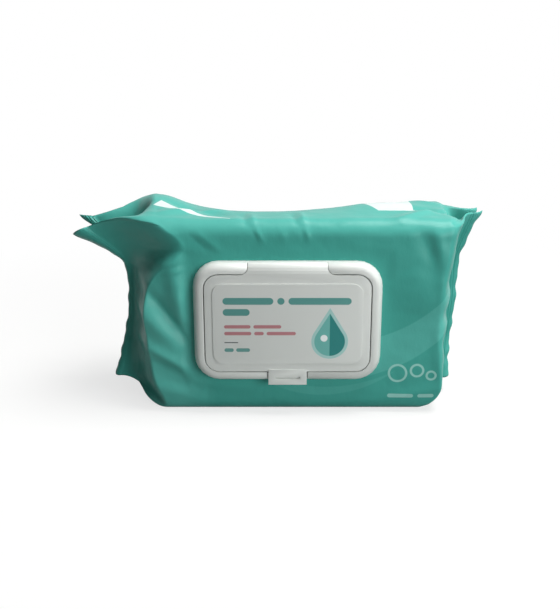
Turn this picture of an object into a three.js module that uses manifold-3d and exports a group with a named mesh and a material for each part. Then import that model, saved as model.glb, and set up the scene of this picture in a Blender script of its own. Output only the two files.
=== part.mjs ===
// A flow-wrapped pack of wet wipes that stands on its long side: a soft film pouch with tucked and
// crimped ends, the folded stack inside it, and a moulded flip-top lid on the front.
// Millimetres, +Z up, +X to the right, the lid faces -Y. The origin is the middle of the base.

import * as THREE from 'three';
import * as BufferGeometryUtils from 'three/addons/utils/BufferGeometryUtils.js';
import Module from 'manifold-3d';

const wasm = await Module();
wasm.setup();

// The pouch where it is filled
const bodyLeft = -80;
const bodyRight = 88;
const bodyDepth = 65;
const bodyHeight = 114;
const edgeRadius = 9;
const filmThickness = 0.8;

// The crimped seals at the two ends
const sealHalfThickness = 0.7;
const sealBendShare = 0.4;
const ribCount = 4;
const ribHeight = 0.35;
const cornerCurl = 0.85;
const endFullness = 0.5;

// The seam that closes the film tube at the back, pressed flat
const backSeamWidth = 14;
const backSeamThickness = 1.1;
const backSeamHeight = 50;
const backSeamBite = 0.3;
const backSeamEnd = 4;

// The contents
const looseFit = 0.5;
const mouthMargin = 1;
const stackHeadroom = 15;
const stackEndGap = 14;
const wipeThickness = 0.8;
const tuftWidth = 34;
const tuftTopWidth = 27.2;
const tuftShoulderWidth = 20.8;
const tuftTipWidth = 16;
const tuftHeight = 12;
const tuftRidgeHeight = 4.8;
const tuftRise = 3.2;

// The lid frame, centred on the front of the pouch
const lidCentreX = -2;
const frameWidth = 106;
const frameHeight = 70;
const frameCornerRadius = 14.5;
const rimWidth = 6;
const rimHeight = 6.8;
const rimBaseHeight = 1.2;
const rimRoundWidth = 4.2;
const rimWall = 1.2;
const deckThickness = 1.4;
const openingWidth = 60;
const openingHeight = 26;
const beadMargin = 3;
const beadWall = 1.2;
const beadHeight = 1.4;

// The flip lid
const lidGap = 0.6;
const lidTop = 7;
const lidPlate = 1.4;
const skirtWall = 1.1;
const skirtInset = 0.9;
const skirtBottom = 2.2;
const panelWidth = 84;
const panelHeight = 47;
const panelCornerRadius = 6;
const panelRise = 0.5;
const hingeWidth = 44;
const hingeFillet = 4.5;
const hingeAxisHeight = 3.2;
const hingeGap = 0.3;
const strapLanding = 2;
const strapElbow = 2;
const strapBite = 1;
const tabWidth = 21.8;
const tabOverhang = 1.5;
const tabRise = 0.4;
const tabBottom = 3.1;
const tabBite = 1;
const tabSlotWidth = 14.4;
const tabSlotHeight = 1.3;
const tabSlotDepth = 1.1;
const tabSlotInset = 2;

// The two ends. Each seal line runs from the bottom of the pack to its top, through points given by how
// far they lie past the filled body, their y and their z. The root is where the front and back of the film
// meet, and the edge is where the film was cut off. Around some heights the film leaves the filled body
// early, drawn in by a length. The corners spread from the seal line by (x, y, z) at the root and the edge.
const leftEnd = {
  side: -1,
  bodyEnd: bodyLeft,
  drawnIn: [
    { at: 102, reach: 10, length: 8 },
    { at: 60, reach: 20, length: -3 },
    { at: 4, reach: 14, length: 7 },
  ],
  root: sealLine(bodyLeft, -1, [[15, -1, 10], [13, 0, 32], [12.5, 0, 57], [14, 0, 84], [36, 0, 109]]),
  edge: sealLine(bodyLeft, -1, [[26, 0, 9], [21, 7, 30], [18, 9, 56], [21, 6, 82], [47, 3, 106]]),
  topFront: { root: [3, -5, 1], edge: [1, -15, -4] },
  topBack: { root: [0, 8, 0], edge: [1, 10, 3] },
  bottomFront: { root: [2, -4, 0], edge: [0, -6, 0] },
  bottomBack: { root: [2, 5, 0], edge: [0, 7, 0] },
};
const rightEnd = {
  side: 1,
  bodyEnd: bodyRight,
  drawnIn: [{ at: 0, reach: 8, length: 12 }],
  root: sealLine(bodyRight, 1, [[4, 0, 10], [5, 0, 32], [7, 0, 57], [8, 0, 86], [16, 0, 113]]),
  edge: sealLine(bodyRight, 1, [[9, 7, 9], [9, 9, 32], [11, 10, 57], [13, 9, 86], [23, 8, 112]]),
  topFront: { root: [0, -5, 0], edge: [0, -6, 1] },
  topBack: { root: [0, 6, 0], edge: [0, 6, 0] },
  bottomFront: { root: [-1, -4, 0], edge: [0, -5, 0] },
  bottomBack: { root: [-1, 5, 0], edge: [0, 5, 0] },
};

// Soft folds of the front film, each from one point (x, z) to another, with its half width and height
const frontFolds = [
  { from: [-80, 96], to: [-66, 84], width: 8, height: 3.0 },
  { from: [-66, 80], to: [-62, 52], width: 6, height: 2.6 },
  { from: [-84, 62], to: [-62, 36], width: 6, height: 2.2 },
  { from: [-84, 34], to: [-46, 12], width: 7, height: 3.2 },
  { from: [64, 88], to: [88, 60], width: 12, height: 2.0 },
  { from: [62, 20], to: [90, 34], width: 10, height: 1.6 },
];

// Swells and dips of the top film, each centred on a point (x, y), with its half widths and its height
const topSwells = [
  { at: [-80, 12], reach: [16, 22], height: 8.5 },
  { at: [-6, 36], reach: [66, 25], height: -12 },
  { at: [52, 6], reach: [32, 22], height: 3.6 },
];

// Slack of the film at the back, as for the top, centred on points (x, z)
const backSwells = [
  { at: [-66, 92], reach: [24, 14], height: 2.4 },
  { at: [64, 90], reach: [26, 16], height: 2.8 },
  { at: [-64, 20], reach: [28, 12], height: 2.0 },
  { at: [60, 22], reach: [30, 13], height: 1.8 },
];

// How the film is held: flat for a little way past what is bonded to it, still along its base and its
// top edge, and lifted with the top as far down as its shoulder. The back is drawn in less than the front.
const bondEdge = 1;
const slackWidth = 8;
const stillBase = 2;
const stillReach = 12;
const shoulder = 2.2 * edgeRadius;
const backDrawShare = 0.6;

// How finely the film and the mouldings are drawn
const slackSteps = 4;
const frameSteps = 6;
const middleSteps = 4;
const endStations = [0.18, 0.36, 0.54, 0.72, 0.88, 1];
const hollowEndStations = 1;
const ribSteps = 2;
const arcSteps = 6;
const stackArcSteps = 4;
const roundSteps = 5;

// A corner of the film runs from a fold, over its rounded edge, to where the tuck is deepest
const arcHalf = (edgeRadius * Math.PI) / 4;
const tuckHalf = bodyDepth / 2 - edgeRadius + arcHalf;
const panelSpan = bodyHeight - 2 * edgeRadius + 2 * arcHalf;
const tuckShare = tuckHalf / panelSpan;
const bondStep = (panelSpan - frameHeight) / 2 - bondEdge;
const cornerSteps = [0, arcHalf / 2, arcHalf, bondStep, (bondStep + tuckHalf) / 2];

const front = -bodyDepth / 2;
const lidCentreZ = bodyHeight / 2;

// Helpers

function sealLine(bodyEnd, side, points) {
  const places = points.map(([past, y, z]) => new THREE.Vector3(bodyEnd + side * past, y, z));
  return new THREE.CatmullRomCurve3(places);
}

function lerp(a, b, t) {
  return a + (b - a) * t;
}

// Even steps from a to b, without b itself
function run(a, b, steps) {
  return Array.from({ length: steps }, (_, i) => lerp(a, b, i / steps));
}

function smooth(t) {
  const c = Math.min(1, Math.max(0, t));
  return c * c * (3 - 2 * c);
}

function toSolid(geometry) {
  const bare = geometry.clone();
  bare.deleteAttribute('normal');
  bare.deleteAttribute('uv');
  const merged = BufferGeometryUtils.mergeVertices(bare, 1e-5);
  return new wasm.Manifold(new wasm.Mesh({
    numProp: 3,
    vertProperties: new Float32Array(merged.attributes.position.array),
    triVerts: new Uint32Array(merged.index.array),
  }));
}

function toGeometry(solid) {
  const mesh = solid.getMesh();
  const geometry = new THREE.BufferGeometry();
  geometry.setAttribute('position', new THREE.BufferAttribute(new Float32Array(mesh.vertProperties), 3));
  geometry.setIndex(new THREE.BufferAttribute(new Uint32Array(mesh.triVerts), 1));
  geometry.computeVertexNormals();
  return geometry;
}

function geometryOf(points, faces) {
  const geometry = new THREE.BufferGeometry();
  const places = points.flatMap((p) => [p.x, p.y, p.z]);
  geometry.setAttribute('position', new THREE.Float32BufferAttribute(places, 3));
  geometry.setIndex(faces.flat());
  return geometry;
}

// The film pouch

// The film is followed along lines that run the length of the pack. A line belongs to one of four
// panels, and lies at a distance from the fold where that panel begins.
function filmLines() {
  const middle = Array.from({ length: middleSteps + 1 }, (_, i) => (
    lerp(tuckHalf, panelSpan - tuckHalf, i / middleSteps)));
  const back = (span) => cornerSteps.map((d) => span - d).reverse();
  const across = [...cornerSteps, ...middle, ...back(panelSpan)];
  const tuck = [...cornerSteps, tuckHalf, ...back(2 * tuckHalf)];
  const lines = [];
  for (const [panel, steps] of [['front', across], ['top', tuck], ['back', across], ['bottom', tuck]]) {
    for (const d of steps.slice(0, -1)) lines.push({ panel, d });
  }
  return lines;
}

// A point of a panel between two rounded edges: how far it lies from the middle, and how far in
function acrossPanel(d, span, flat) {
  const a = d - span / 2;
  const past = Math.max(0, Math.abs(a) - flat / 2) / edgeRadius;
  return {
    along: Math.sign(a) * (Math.min(Math.abs(a), flat / 2) + edgeRadius * Math.sin(past)),
    inward: edgeRadius * (1 - Math.cos(past)),
  };
}

function foldRelief(x, z) {
  let total = 0;
  for (const { from, to, width, height } of frontFolds) {
    const [dx, dz] = [to[0] - from[0], to[1] - from[1]];
    const t = ((x - from[0]) * dx + (z - from[1]) * dz) / (dx * dx + dz * dz);
    const held = Math.min(1, Math.max(0, t));
    const off = Math.hypot(x - from[0] - held * dx, z - from[1] - held * dz) / width;
    total += height * Math.exp(-off * off);
  }
  return total;
}

function swellRelief(swells, u, v) {
  let total = 0;
  for (const { at, reach, height } of swells) {
    const off = Math.hypot((u - at[0]) / reach[0], (v - at[1]) / reach[1]);
    total += height * Math.exp(-off * off);
  }
  return total;
}

// The film is flat where the lid frame is bonded to it, and slack around that
function slackAroundFrame(x, z) {
  const overX = Math.abs(x - lidCentreX) - frameWidth / 2;
  const overZ = Math.abs(z - lidCentreZ) - frameHeight / 2;
  return smooth((Math.max(overX, overZ) - bondEdge) / slackWidth);
}

// The film is flat too where the seam is pressed against the back
function slackAroundSeam(z) {
  return smooth((Math.abs(z - backSeamHeight) - backSeamWidth / 2 - bondEdge) / slackWidth);
}

// The top film swells and sags as a whole, with the edges that join it to the front and back
function topLift(x, y, z) {
  return smooth((z - bodyHeight + shoulder) / shoulder) * swellRelief(topSwells, x, y);
}

// The place of a film line where it passes the filled body at x
function bodyPoint({ panel, d }, x) {
  if (panel === 'top' || panel === 'bottom') {
    const { along, inward } = acrossPanel(d, 2 * tuckHalf, bodyDepth - 2 * edgeRadius);
    if (panel === 'bottom') return new THREE.Vector3(x, -along, inward);
    const z = bodyHeight - inward;
    return new THREE.Vector3(x, along, z + topLift(x, along, z));
  }
  const { along, inward } = acrossPanel(d, panelSpan, bodyHeight - 2 * edgeRadius);
  const side = panel === 'front' ? -1 : 1;
  const z = bodyHeight / 2 - side * along;
  const relief = panel === 'front'
    ? foldRelief(x, z) * slackAroundFrame(x, z)
    : swellRelief(backSwells, x, z) * slackAroundSeam(z);
  const free = smooth((z - stillBase) / stillReach) * smooth((bodyHeight - z) / stillReach);
  const y = side * (bodyDepth / 2 - inward + relief * free);
  return new THREE.Vector3(x, y, z + topLift(x, y, z));
}

// Where a film line meets an end seal: how high it lies along the seal, which corner it spreads with,
// and on which outer face of the seal it lies, if on any
function sealPlace({ panel, d }) {
  if (panel === 'front') return { share: d / panelSpan, face: 1, isFront: true };
  if (panel === 'back') return { share: 1 - d / panelSpan, face: -1, isFront: false };
  const fromFold = Math.min(d, 2 * tuckHalf - d) / panelSpan;
  const isFront = (panel === 'top') === (d <= tuckHalf);
  const outer = isFront ? 1 : -1;
  return {
    share: panel === 'top' ? 1 - fromFold : fromFold,
    face: d === 0 ? outer : 0,
    isFront,
  };
}

function cornerSpread(end, share, isFront, reach) {
  const up = Math.max(0, share - 1 + tuckShare) / tuckShare;
  const down = Math.max(0, tuckShare - share) / tuckShare;
  const [front, back] = up > 0 ? [end.topFront, end.topBack] : [end.bottomFront, end.bottomBack];
  const corner = isFront ? front : back;
  return new THREE.Vector3(...corner.root)
    .lerp(new THREE.Vector3(...corner.edge), reach)
    .multiplyScalar(Math.pow(Math.max(up, down), cornerCurl));
}

// A point of an end seal. reach runs from 0 at the root to 1 at the cut edge.
function sealPoint(line, end, reach) {
  const { share, face, isFront } = sealPlace(line);
  const root = end.root.getPoint(share);
  const edge = end.edge.getPoint(share);
  const straight = edge.clone().sub(root).setY(0).normalize();
  const bend = root.clone().addScaledVector(straight, root.distanceTo(edge) * sealBendShare);
  const curve = new THREE.QuadraticBezierCurve3(root, bend, edge);
  const tangent = curve.getTangent(reach);
  const normal = new THREE.Vector3(end.side * tangent.y, -end.side * tangent.x, 0).normalize();
  const rib = ribHeight * Math.sin(Math.PI * reach * ribCount);
  return curve.getPoint(reach)
    .addScaledVector(normal, face * sealHalfThickness + rib)
    .add(cornerSpread(end, share, isFront, reach));
}

// Where a film line leaves the filled body for an end
function bodyStart(line, end) {
  const { z } = bodyPoint(line, end.bodyEnd);
  const share = line.panel === 'back' ? backDrawShare : 1;
  let drawn = 0;
  for (const { at, reach, length } of end.drawnIn) drawn += length * Math.exp(-(((z - at) / reach) ** 2));
  return end.bodyEnd - end.side * drawn * share;
}

// A point of the film between the filled body and the root of an end seal
function endPoint(line, end, t) {
  const start = bodyPoint(line, bodyStart(line, end));
  const finish = sealPoint(line, end, 0);
  const pull = endFullness * Math.abs(finish.x - start.x);
  const outward = sealPoint(line, end, 0.5).sub(finish).setY(0).normalize();
  const first = start.clone().setX(start.x + end.side * pull);
  const second = finish.clone().addScaledVector(outward, -pull);
  return new THREE.CubicBezierCurve3(start, first, second, finish).getPoint(t);
}

// The sections of the film from its left edge to its right edge
function filmStations() {
  const ribs = ribCount * ribSteps;
  const endRun = (end) => [
    ...endStations.map((t) => (line) => endPoint(line, end, t)),
    ...Array.from({ length: ribs }, (_, i) => (line) => sealPoint(line, end, (i + 1) / ribs)),
  ];
  const bondLeft = lidCentreX - frameWidth / 2 - bondEdge;
  const bondRight = lidCentreX + frameWidth / 2 + bondEdge;
  const shares = run(0, 1, slackSteps);
  const toBond = (t) => (line) => bodyPoint(line, lerp(bodyStart(line, leftEnd), bondLeft, t));
  const fromBond = (t) => (line) => bodyPoint(line, lerp(bondRight, bodyStart(line, rightEnd), t));
  const body = [
    ...shares.map(toBond),
    ...run(bondLeft, bondRight, frameSteps).map((x) => (line) => bodyPoint(line, x)),
    ...shares.map(fromBond),
    fromBond(1),
  ];
  return [...endRun(leftEnd).reverse(), ...body, ...endRun(rightEnd)];
}

// The faces that close a ring of film lines. Each corner strip joins a panel to the half of the tuck
// that lies against it, and the middle strip joins the front to the back.
function closingFaces(lines) {
  const count = lines.length;
  const corner = cornerSteps.length;
  const top = lines.findIndex(({ panel }) => panel === 'top');
  const bottom = lines.findIndex(({ panel }) => panel === 'bottom');
  const wrap = (i) => (i + count) % count;
  const faces = [];
  const strip = (a, b, steps) => {
    for (let i = 0; i < steps; i += 1) {
      const [p, q, r, s] = [a + i, a + i + 1, b - i - 1, b - i].map(wrap);
      if (q !== r) faces.push([p, q, r]);
      faces.push([p, r, s]);
    }
  };
  const apexTop = top + corner;
  const apexBottom = bottom + corner;
  strip(top - corner, apexTop, corner);
  strip(apexTop, apexTop + 2 * corner, corner);
  strip(bottom - corner, apexBottom, corner);
  strip(apexBottom, apexBottom + 2 * corner, corner);
  strip(corner, bottom - corner, top - 2 * corner);
  faces.push([top - corner, apexTop, apexTop + 2 * corner]);
  faces.push([bottom - corner, apexBottom, corner]);
  return faces;
}

// A skin over rings of points, one ring for each section, closed at both ends
function skin(lines, rings) {
  const count = lines.length;
  const faces = [];
  for (let s = 0; s + 1 < rings.length; s += 1) {
    for (let i = 0; i < count; i += 1) {
      const [a, b] = [s * count + i, s * count + ((i + 1) % count)];
      faces.push([a, b + count, b], [a, a + count, b + count]);
    }
  }
  const last = (rings.length - 1) * count;
  for (const [a, b, c] of closingFaces(lines)) {
    faces.push([a, b, c], [last + c, last + b, last + a]);
  }
  return geometryOf(rings.flat(), faces);
}

// The inside of the film: the same rings moved in by its thickness
function insetRings(rings) {
  const count = rings[0].length;
  return rings.map((ring, s) => ring.map((point, i) => {
    const along = rings[Math.min(s + 1, rings.length - 1)][i].clone().sub(rings[Math.max(s - 1, 0)][i]);
    const around = ring[(i + 1) % count].clone().sub(ring[(i + count - 1) % count]);
    return point.clone().addScaledVector(around.cross(along).normalize(), filmThickness);
  }));
}

function filmPouch() {
  const lines = filmLines();
  const rings = filmStations().map((place) => lines.map(place));
  const outer = toSolid(skin(lines, rings));
  const skipped = endStations.length + ribCount * ribSteps - hollowEndStations;
  const inner = toSolid(skin(lines, insetRings(rings.slice(skipped, rings.length - skipped))));
  const seamLength = bodyRight - bodyLeft - 2 * backSeamEnd;
  const seamY = bodyDepth / 2 + (backSeamThickness - backSeamBite) / 2;
  const seam = new THREE.BoxGeometry(seamLength, backSeamThickness + backSeamBite, backSeamWidth)
    .translate((bodyLeft + bodyRight) / 2, seamY, backSeamHeight);
  const mouth = frontPlate(openingShape(mouthMargin), 3 * filmThickness, -2 * filmThickness);
  return outer.add(toSolid(seam)).subtract(inner).subtract(toSolid(mouth));
}

// The contents

function roundedRect(width, height, radius, x = 0, y = 0) {
  const [w, h] = [width / 2 - radius, height / 2 - radius];
  const shape = new THREE.Shape();
  shape.absarc(x + w, y + h, radius, 0, Math.PI / 2);
  shape.absarc(x - w, y + h, radius, Math.PI / 2, Math.PI);
  shape.absarc(x - w, y - h, radius, Math.PI, 1.5 * Math.PI);
  shape.absarc(x + w, y - h, radius, 1.5 * Math.PI, 2 * Math.PI);
  shape.closePath();
  return shape;
}

// The oval opening of the lid frame, wider by a margin all round, with a hair of straight at each end
function openingShape(margin) {
  const straight = 0.02;
  const height = openingHeight + 2 * margin;
  return roundedRect(openingWidth + 2 * margin, height, (height - straight) / 2);
}

function extruded(shape, depth, curveSegments) {
  return new THREE.ExtrudeGeometry(shape, { depth, bevelEnabled: false, curveSegments });
}

// A plate on the front of the pouch: a shape in the plane of the lid, from one height above the film
// for a thickness outward
function frontPlate(shape, thickness, height) {
  return extruded(shape, thickness, arcSteps)
    .rotateX(Math.PI / 2)
    .translate(lidCentreX, front - height, lidCentreZ);
}

const stackRadius = edgeRadius;
const stackLength = bodyRight - bodyLeft - 2 * stackEndGap;
const stackCentreX = (bodyLeft + bodyRight) / 2;
const stackTop = bodyHeight - filmThickness - stackHeadroom;
const stackBottom = filmThickness;
const stackFront = front + filmThickness + looseFit + wipeThickness;
const stackBack = -front - filmThickness - looseFit;

function wipeStack() {
  const [depth, height] = [stackBack - stackFront, stackTop - stackBottom];
  const section = roundedRect(depth, height, stackRadius);
  return toSolid(extruded(section, stackLength, stackArcSteps)
    .translate(0, 0, -stackLength / 2)
    .rotateX(Math.PI / 2)
    .rotateZ(Math.PI / 2)
    .translate(stackCentreX, (stackFront + stackBack) / 2, (stackTop + stackBottom) / 2));
}

// The leading wipe lies on the front of the stack, with a tuft drawn up into the opening
function firstWipe() {
  const height = stackTop - stackBottom - 2 * stackRadius;
  const sheet = new THREE.BoxGeometry(stackLength, wipeThickness, height)
    .translate(stackCentreX, stackFront - wipeThickness / 2, (stackTop + stackBottom) / 2);
  const points = [];
  const faces = [];
  for (const [along, width, rise] of [
    [-tuftHeight / 2, tuftWidth, 0],
    [-tuftRidgeHeight / 2, tuftShoulderWidth, tuftRise],
    [tuftRidgeHeight / 2, tuftTipWidth, tuftRise],
    [tuftHeight / 2, tuftTopWidth, 0],
  ]) {
    for (const sign of [-1, 1]) {
      const y = stackFront - wipeThickness - rise;
      points.push(new THREE.Vector3(lidCentreX + (sign * width) / 2, y, lidCentreZ + along));
    }
  }
  for (const base of [0, 6]) {
    for (const i of [0, 1]) {
      points.push(points[base + i].clone().setY(stackFront - wipeThickness / 2));
    }
  }
  faces.push([0, 1, 3], [0, 3, 2], [2, 3, 5], [2, 5, 4], [4, 5, 7], [4, 7, 6]);
  faces.push([8, 9, 1], [8, 1, 0], [6, 7, 11], [6, 11, 10], [8, 10, 11], [8, 11, 9]);
  faces.push([8, 0, 2], [8, 2, 10], [2, 4, 10], [4, 6, 10]);
  faces.push([9, 3, 1], [9, 11, 3], [3, 11, 5], [5, 11, 7]);
  return toSolid(sheet).add(toSolid(geometryOf(points, faces)));
}

// The lid frame

// A closed profile of (inset, height) points carried round the outline of the frame
function frameSweep(profile) {
  const [w, h] = [frameWidth / 2 - frameCornerRadius, frameHeight / 2 - frameCornerRadius];
  const stops = [];
  for (const [k, [sx, sz]] of [[1, 1], [-1, 1], [-1, -1], [1, -1]].entries()) {
    for (let i = 0; i <= arcSteps; i += 1) {
      stops.push({ x: sx * w, z: sz * h, angle: ((k + i / arcSteps) * Math.PI) / 2 });
    }
  }
  const points = [];
  const faces = [];
  const n = profile.length;
  for (const { x, z, angle } of stops) {
    for (const [inset, height] of profile) {
      const radius = frameCornerRadius - inset;
      points.push(new THREE.Vector3(
        lidCentreX + x + radius * Math.cos(angle),
        front - height,
        lidCentreZ + z + radius * Math.sin(angle),
      ));
    }
  }
  for (let s = 0; s < stops.length; s += 1) {
    const next = (s + 1) % stops.length;
    for (let i = 0; i < n; i += 1) {
      const j = (i + 1) % n;
      faces.push([s * n + i, next * n + j, s * n + j], [s * n + i, next * n + i, next * n + j]);
    }
  }
  return toSolid(geometryOf(points, faces));
}

// The outer face of the rim: upright at the film, then rounded over to the flat top
function rimShoulder(inset = 0) {
  const over = rimRoundWidth - inset;
  const rise = rimHeight - rimBaseHeight - inset;
  return Array.from({ length: roundSteps + 1 }, (_, i) => {
    const angle = (i / roundSteps) * (Math.PI / 2);
    return [inset + over * (1 - Math.cos(angle)), rimBaseHeight + rise * Math.sin(angle)];
  });
}

const frameInnerWidth = frameWidth - 2 * rimWidth;
const frameInnerHeight = frameHeight - 2 * rimWidth;
const frameInnerRadius = frameCornerRadius - rimWidth;
const hingeZ = frameHeight / 2;

// A block in the middle of the lid's width: from z0 to z1 measured from the lid's centre, and between two
// heights above the film
function middleBlock(width, z0, z1, height0, height1) {
  return toSolid(new THREE.BoxGeometry(width, height1 - height0, z1 - z0)
    .translate(lidCentreX, front - (height0 + height1) / 2, lidCentreZ + (z0 + z1) / 2));
}

function lidFrame() {
  const rim = frameSweep([
    [0, 0],
    ...rimShoulder(),
    [rimWidth, rimHeight],
    [rimWidth, 0],
    [rimWidth - rimWall, 0],
    [rimWidth - rimWall, rimHeight - rimWall],
    ...rimShoulder(rimWall).reverse(),
    [rimWall, 0],
  ]);
  const [deckWidth, deckHeight] = [frameInnerWidth + rimWall, frameInnerHeight + rimWall];
  const deckShape = roundedRect(deckWidth, deckHeight, frameInnerRadius + rimWall / 2);
  deckShape.holes.push(openingShape(0));
  const beadShape = openingShape(beadMargin + beadWall);
  beadShape.holes.push(openingShape(beadMargin));
  const deck = frontPlate(deckShape, deckThickness, 0);
  const bead = frontPlate(beadShape, deckThickness / 2 + beadHeight, deckThickness / 2);
  const past = 1;
  const above = 2 * lidTop;
  const hingeNotch = toSolid(frontPlate(strapOutline(hingeGap, past), above, hingeAxisHeight - hingeGap));
  const tabNotch = middleBlock(
    tabWidth + 2 * lidGap, -hingeZ - past, -hingeZ + rimWidth + past, tabBottom - hingeGap, above);
  return rim.add(toSolid(deck)).add(toSolid(bead)).subtract(hingeNotch).subtract(tabNotch);
}

// The flip lid

function flipLid() {
  const width = frameInnerWidth - 2 * lidGap;
  const height = frameInnerHeight - 2 * lidGap;
  const radius = frameInnerRadius - lidGap;
  const plate = frontPlate(roundedRect(width, height, radius), lidPlate, lidTop - lidPlate);
  const middle = lidTop - lidPlate / 2;
  const panelShape = roundedRect(panelWidth, panelHeight, panelCornerRadius);
  const panel = frontPlate(panelShape, lidPlate / 2 + panelRise, middle);
  const skirtShape = roundedRect(width - 2 * skirtInset, height - 2 * skirtInset, radius - skirtInset);
  const inset = skirtInset + skirtWall;
  skirtShape.holes.push(roundedRect(width - 2 * inset, height - 2 * inset, radius - inset));
  const skirt = frontPlate(skirtShape, middle - skirtBottom, skirtBottom);
  const sealShape = openingShape(beadMargin + beadWall + lidGap + skirtWall);
  sealShape.holes.push(openingShape(beadMargin + beadWall + lidGap));
  const seal = frontPlate(sealShape, middle - skirtBottom, skirtBottom);
  const tabTop = lidTop + tabRise;
  const slotZ = -hingeZ + tabSlotInset;
  const tab = middleBlock(tabWidth, -hingeZ - tabOverhang, -height / 2 + tabBite, tabBottom, tabTop)
    .subtract(middleBlock(tabSlotWidth, slotZ, slotZ + tabSlotHeight, tabTop - tabSlotDepth, 2 * lidTop));
  return [panel, skirt, seal].reduce((solid, piece) => solid.add(toSolid(piece)), toSolid(plate))
    .add(strapSolid())
    .add(tab);
}

// The strap as seen from the front: as wide as the hinge, and flared where it meets the lid
function strapOutline(margin, beyond) {
  const half = hingeWidth / 2 + margin;
  const fillet = hingeFillet - margin;
  const seamZ = frameInnerHeight / 2 - lidGap + margin;
  const shape = new THREE.Shape();
  shape.moveTo(half + fillet, seamZ - strapBite);
  shape.lineTo(half + fillet, seamZ);
  shape.absarc(half + fillet, seamZ + fillet, fillet, 1.5 * Math.PI, Math.PI, true);
  shape.lineTo(half, hingeZ + beyond);
  shape.lineTo(-half, hingeZ + beyond);
  shape.absarc(-half - fillet, seamZ + fillet, fillet, 2 * Math.PI, 1.5 * Math.PI, true);
  shape.lineTo(-half - fillet, seamZ - strapBite);
  shape.closePath();
  return shape;
}

// The strap runs level from the lid, then rounds over the rim to the hinge line at the frame's outer edge
function strapSolid() {
  const start = frameInnerHeight / 2 - lidGap - strapBite;
  const landing = start + strapLanding;
  const drop = lidTop - hingeAxisHeight;
  const profile = [[start, lidTop]];
  for (let i = 0; i <= roundSteps; i += 1) {
    const angle = (i / roundSteps) * (Math.PI / 2);
    const along = (hingeZ - landing) * Math.sin(angle);
    profile.push([landing + along, hingeAxisHeight + drop * Math.cos(angle)]);
  }
  const inner = hingeZ - lidPlate;
  profile.push([inner, hingeAxisHeight], [inner - strapElbow, lidTop - lidPlate], [start, lidTop - lidPlate]);
  const shape = new THREE.Shape(profile.map(([z, height]) => new THREE.Vector2(-height, z)));
  const flared = hingeWidth + 2 * hingeFillet;
  const strap = extruded(shape, flared, arcSteps)
    .rotateX(Math.PI / 2)
    .rotateZ(Math.PI / 2)
    .translate(lidCentreX - flared / 2, front, lidCentreZ);
  return toSolid(strap).intersect(toSolid(frontPlate(strapOutline(0, 0), 2 * lidTop, 0)));
}

const film = new THREE.MeshStandardMaterial({ color: 0x3f9a8d, roughness: 0.35, metalness: 0 });
const tissue = new THREE.MeshStandardMaterial({ color: 0xf2f3f1, roughness: 0.9, metalness: 0 });
const mouldedPlastic = new THREE.MeshStandardMaterial({ color: 0xd9d8d4, roughness: 0.5, metalness: 0 });

const pack = new THREE.Group();
for (const [name, solid, material] of [
  ['film_pouch', filmPouch(), film],
  ['wipe_stack', wipeStack(), tissue],
  ['first_wipe', firstWipe(), tissue],
  ['lid_frame', lidFrame(), mouldedPlastic],
  ['flip_lid', flipLid(), mouldedPlastic],
]) {
  const mesh = new THREE.Mesh(toGeometry(solid), material);
  mesh.name = name;
  pack.add(mesh);
}

export default pack;
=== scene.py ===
"""A pack of wet wipes with a flip-top lid, dressed for the camera on a pale studio floor."""
import logging
import math
from dataclasses import dataclass
from enum import Enum

import bmesh
import bpy
import numpy as np
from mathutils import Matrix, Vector, noise


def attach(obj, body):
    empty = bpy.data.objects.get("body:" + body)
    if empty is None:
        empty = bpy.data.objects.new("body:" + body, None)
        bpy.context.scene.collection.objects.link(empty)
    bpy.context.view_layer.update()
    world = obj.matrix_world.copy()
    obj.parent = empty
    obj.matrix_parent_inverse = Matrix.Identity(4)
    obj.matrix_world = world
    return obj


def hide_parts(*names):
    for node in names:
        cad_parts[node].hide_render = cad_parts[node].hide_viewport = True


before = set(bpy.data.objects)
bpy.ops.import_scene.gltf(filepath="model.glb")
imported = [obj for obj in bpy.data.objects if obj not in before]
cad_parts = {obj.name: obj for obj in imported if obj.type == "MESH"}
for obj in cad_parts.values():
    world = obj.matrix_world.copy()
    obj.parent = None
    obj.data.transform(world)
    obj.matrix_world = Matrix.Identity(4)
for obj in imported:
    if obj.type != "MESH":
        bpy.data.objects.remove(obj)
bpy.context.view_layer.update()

log = logging.getLogger("wipes")
MM = 0.001
EDGE_RADIUS = 0.35  # of the mouldings' edges, in millimetres

Point = tuple[float, float]
Place = tuple[float, float, float]
Socket = bpy.types.NodeSocket
Value = bpy.types.NodeSocket | float | tuple


class Panel(Enum):
    """The four panels of the film tube, in the order they follow each other round the pack."""

    FRONT = 0
    TOP = 1
    BACK = 2
    UNDER = 3


def to_linear(code: str) -> tuple[float, float, float, float]:
    """Turn an sRGB hex colour into linear RGBA.

    Args:
        code: six hex digits.

    Returns:
        The colour as linear red, green, blue and an alpha of 1.
    """
    parts = [int(code[i:i + 2], 16) / 255 for i in (0, 2, 4)]
    linear = [c / 12.92 if c <= 0.04045 else ((c + 0.055) / 1.055) ** 2.4 for c in parts]
    return (*linear, 1.0)


def smooth(t: np.ndarray | float) -> np.ndarray:
    """Ease from 0 to 1 as t goes from 0 to 1."""
    c = np.clip(t, 0.0, 1.0)
    return c * c * (3 - 2 * c)


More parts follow.
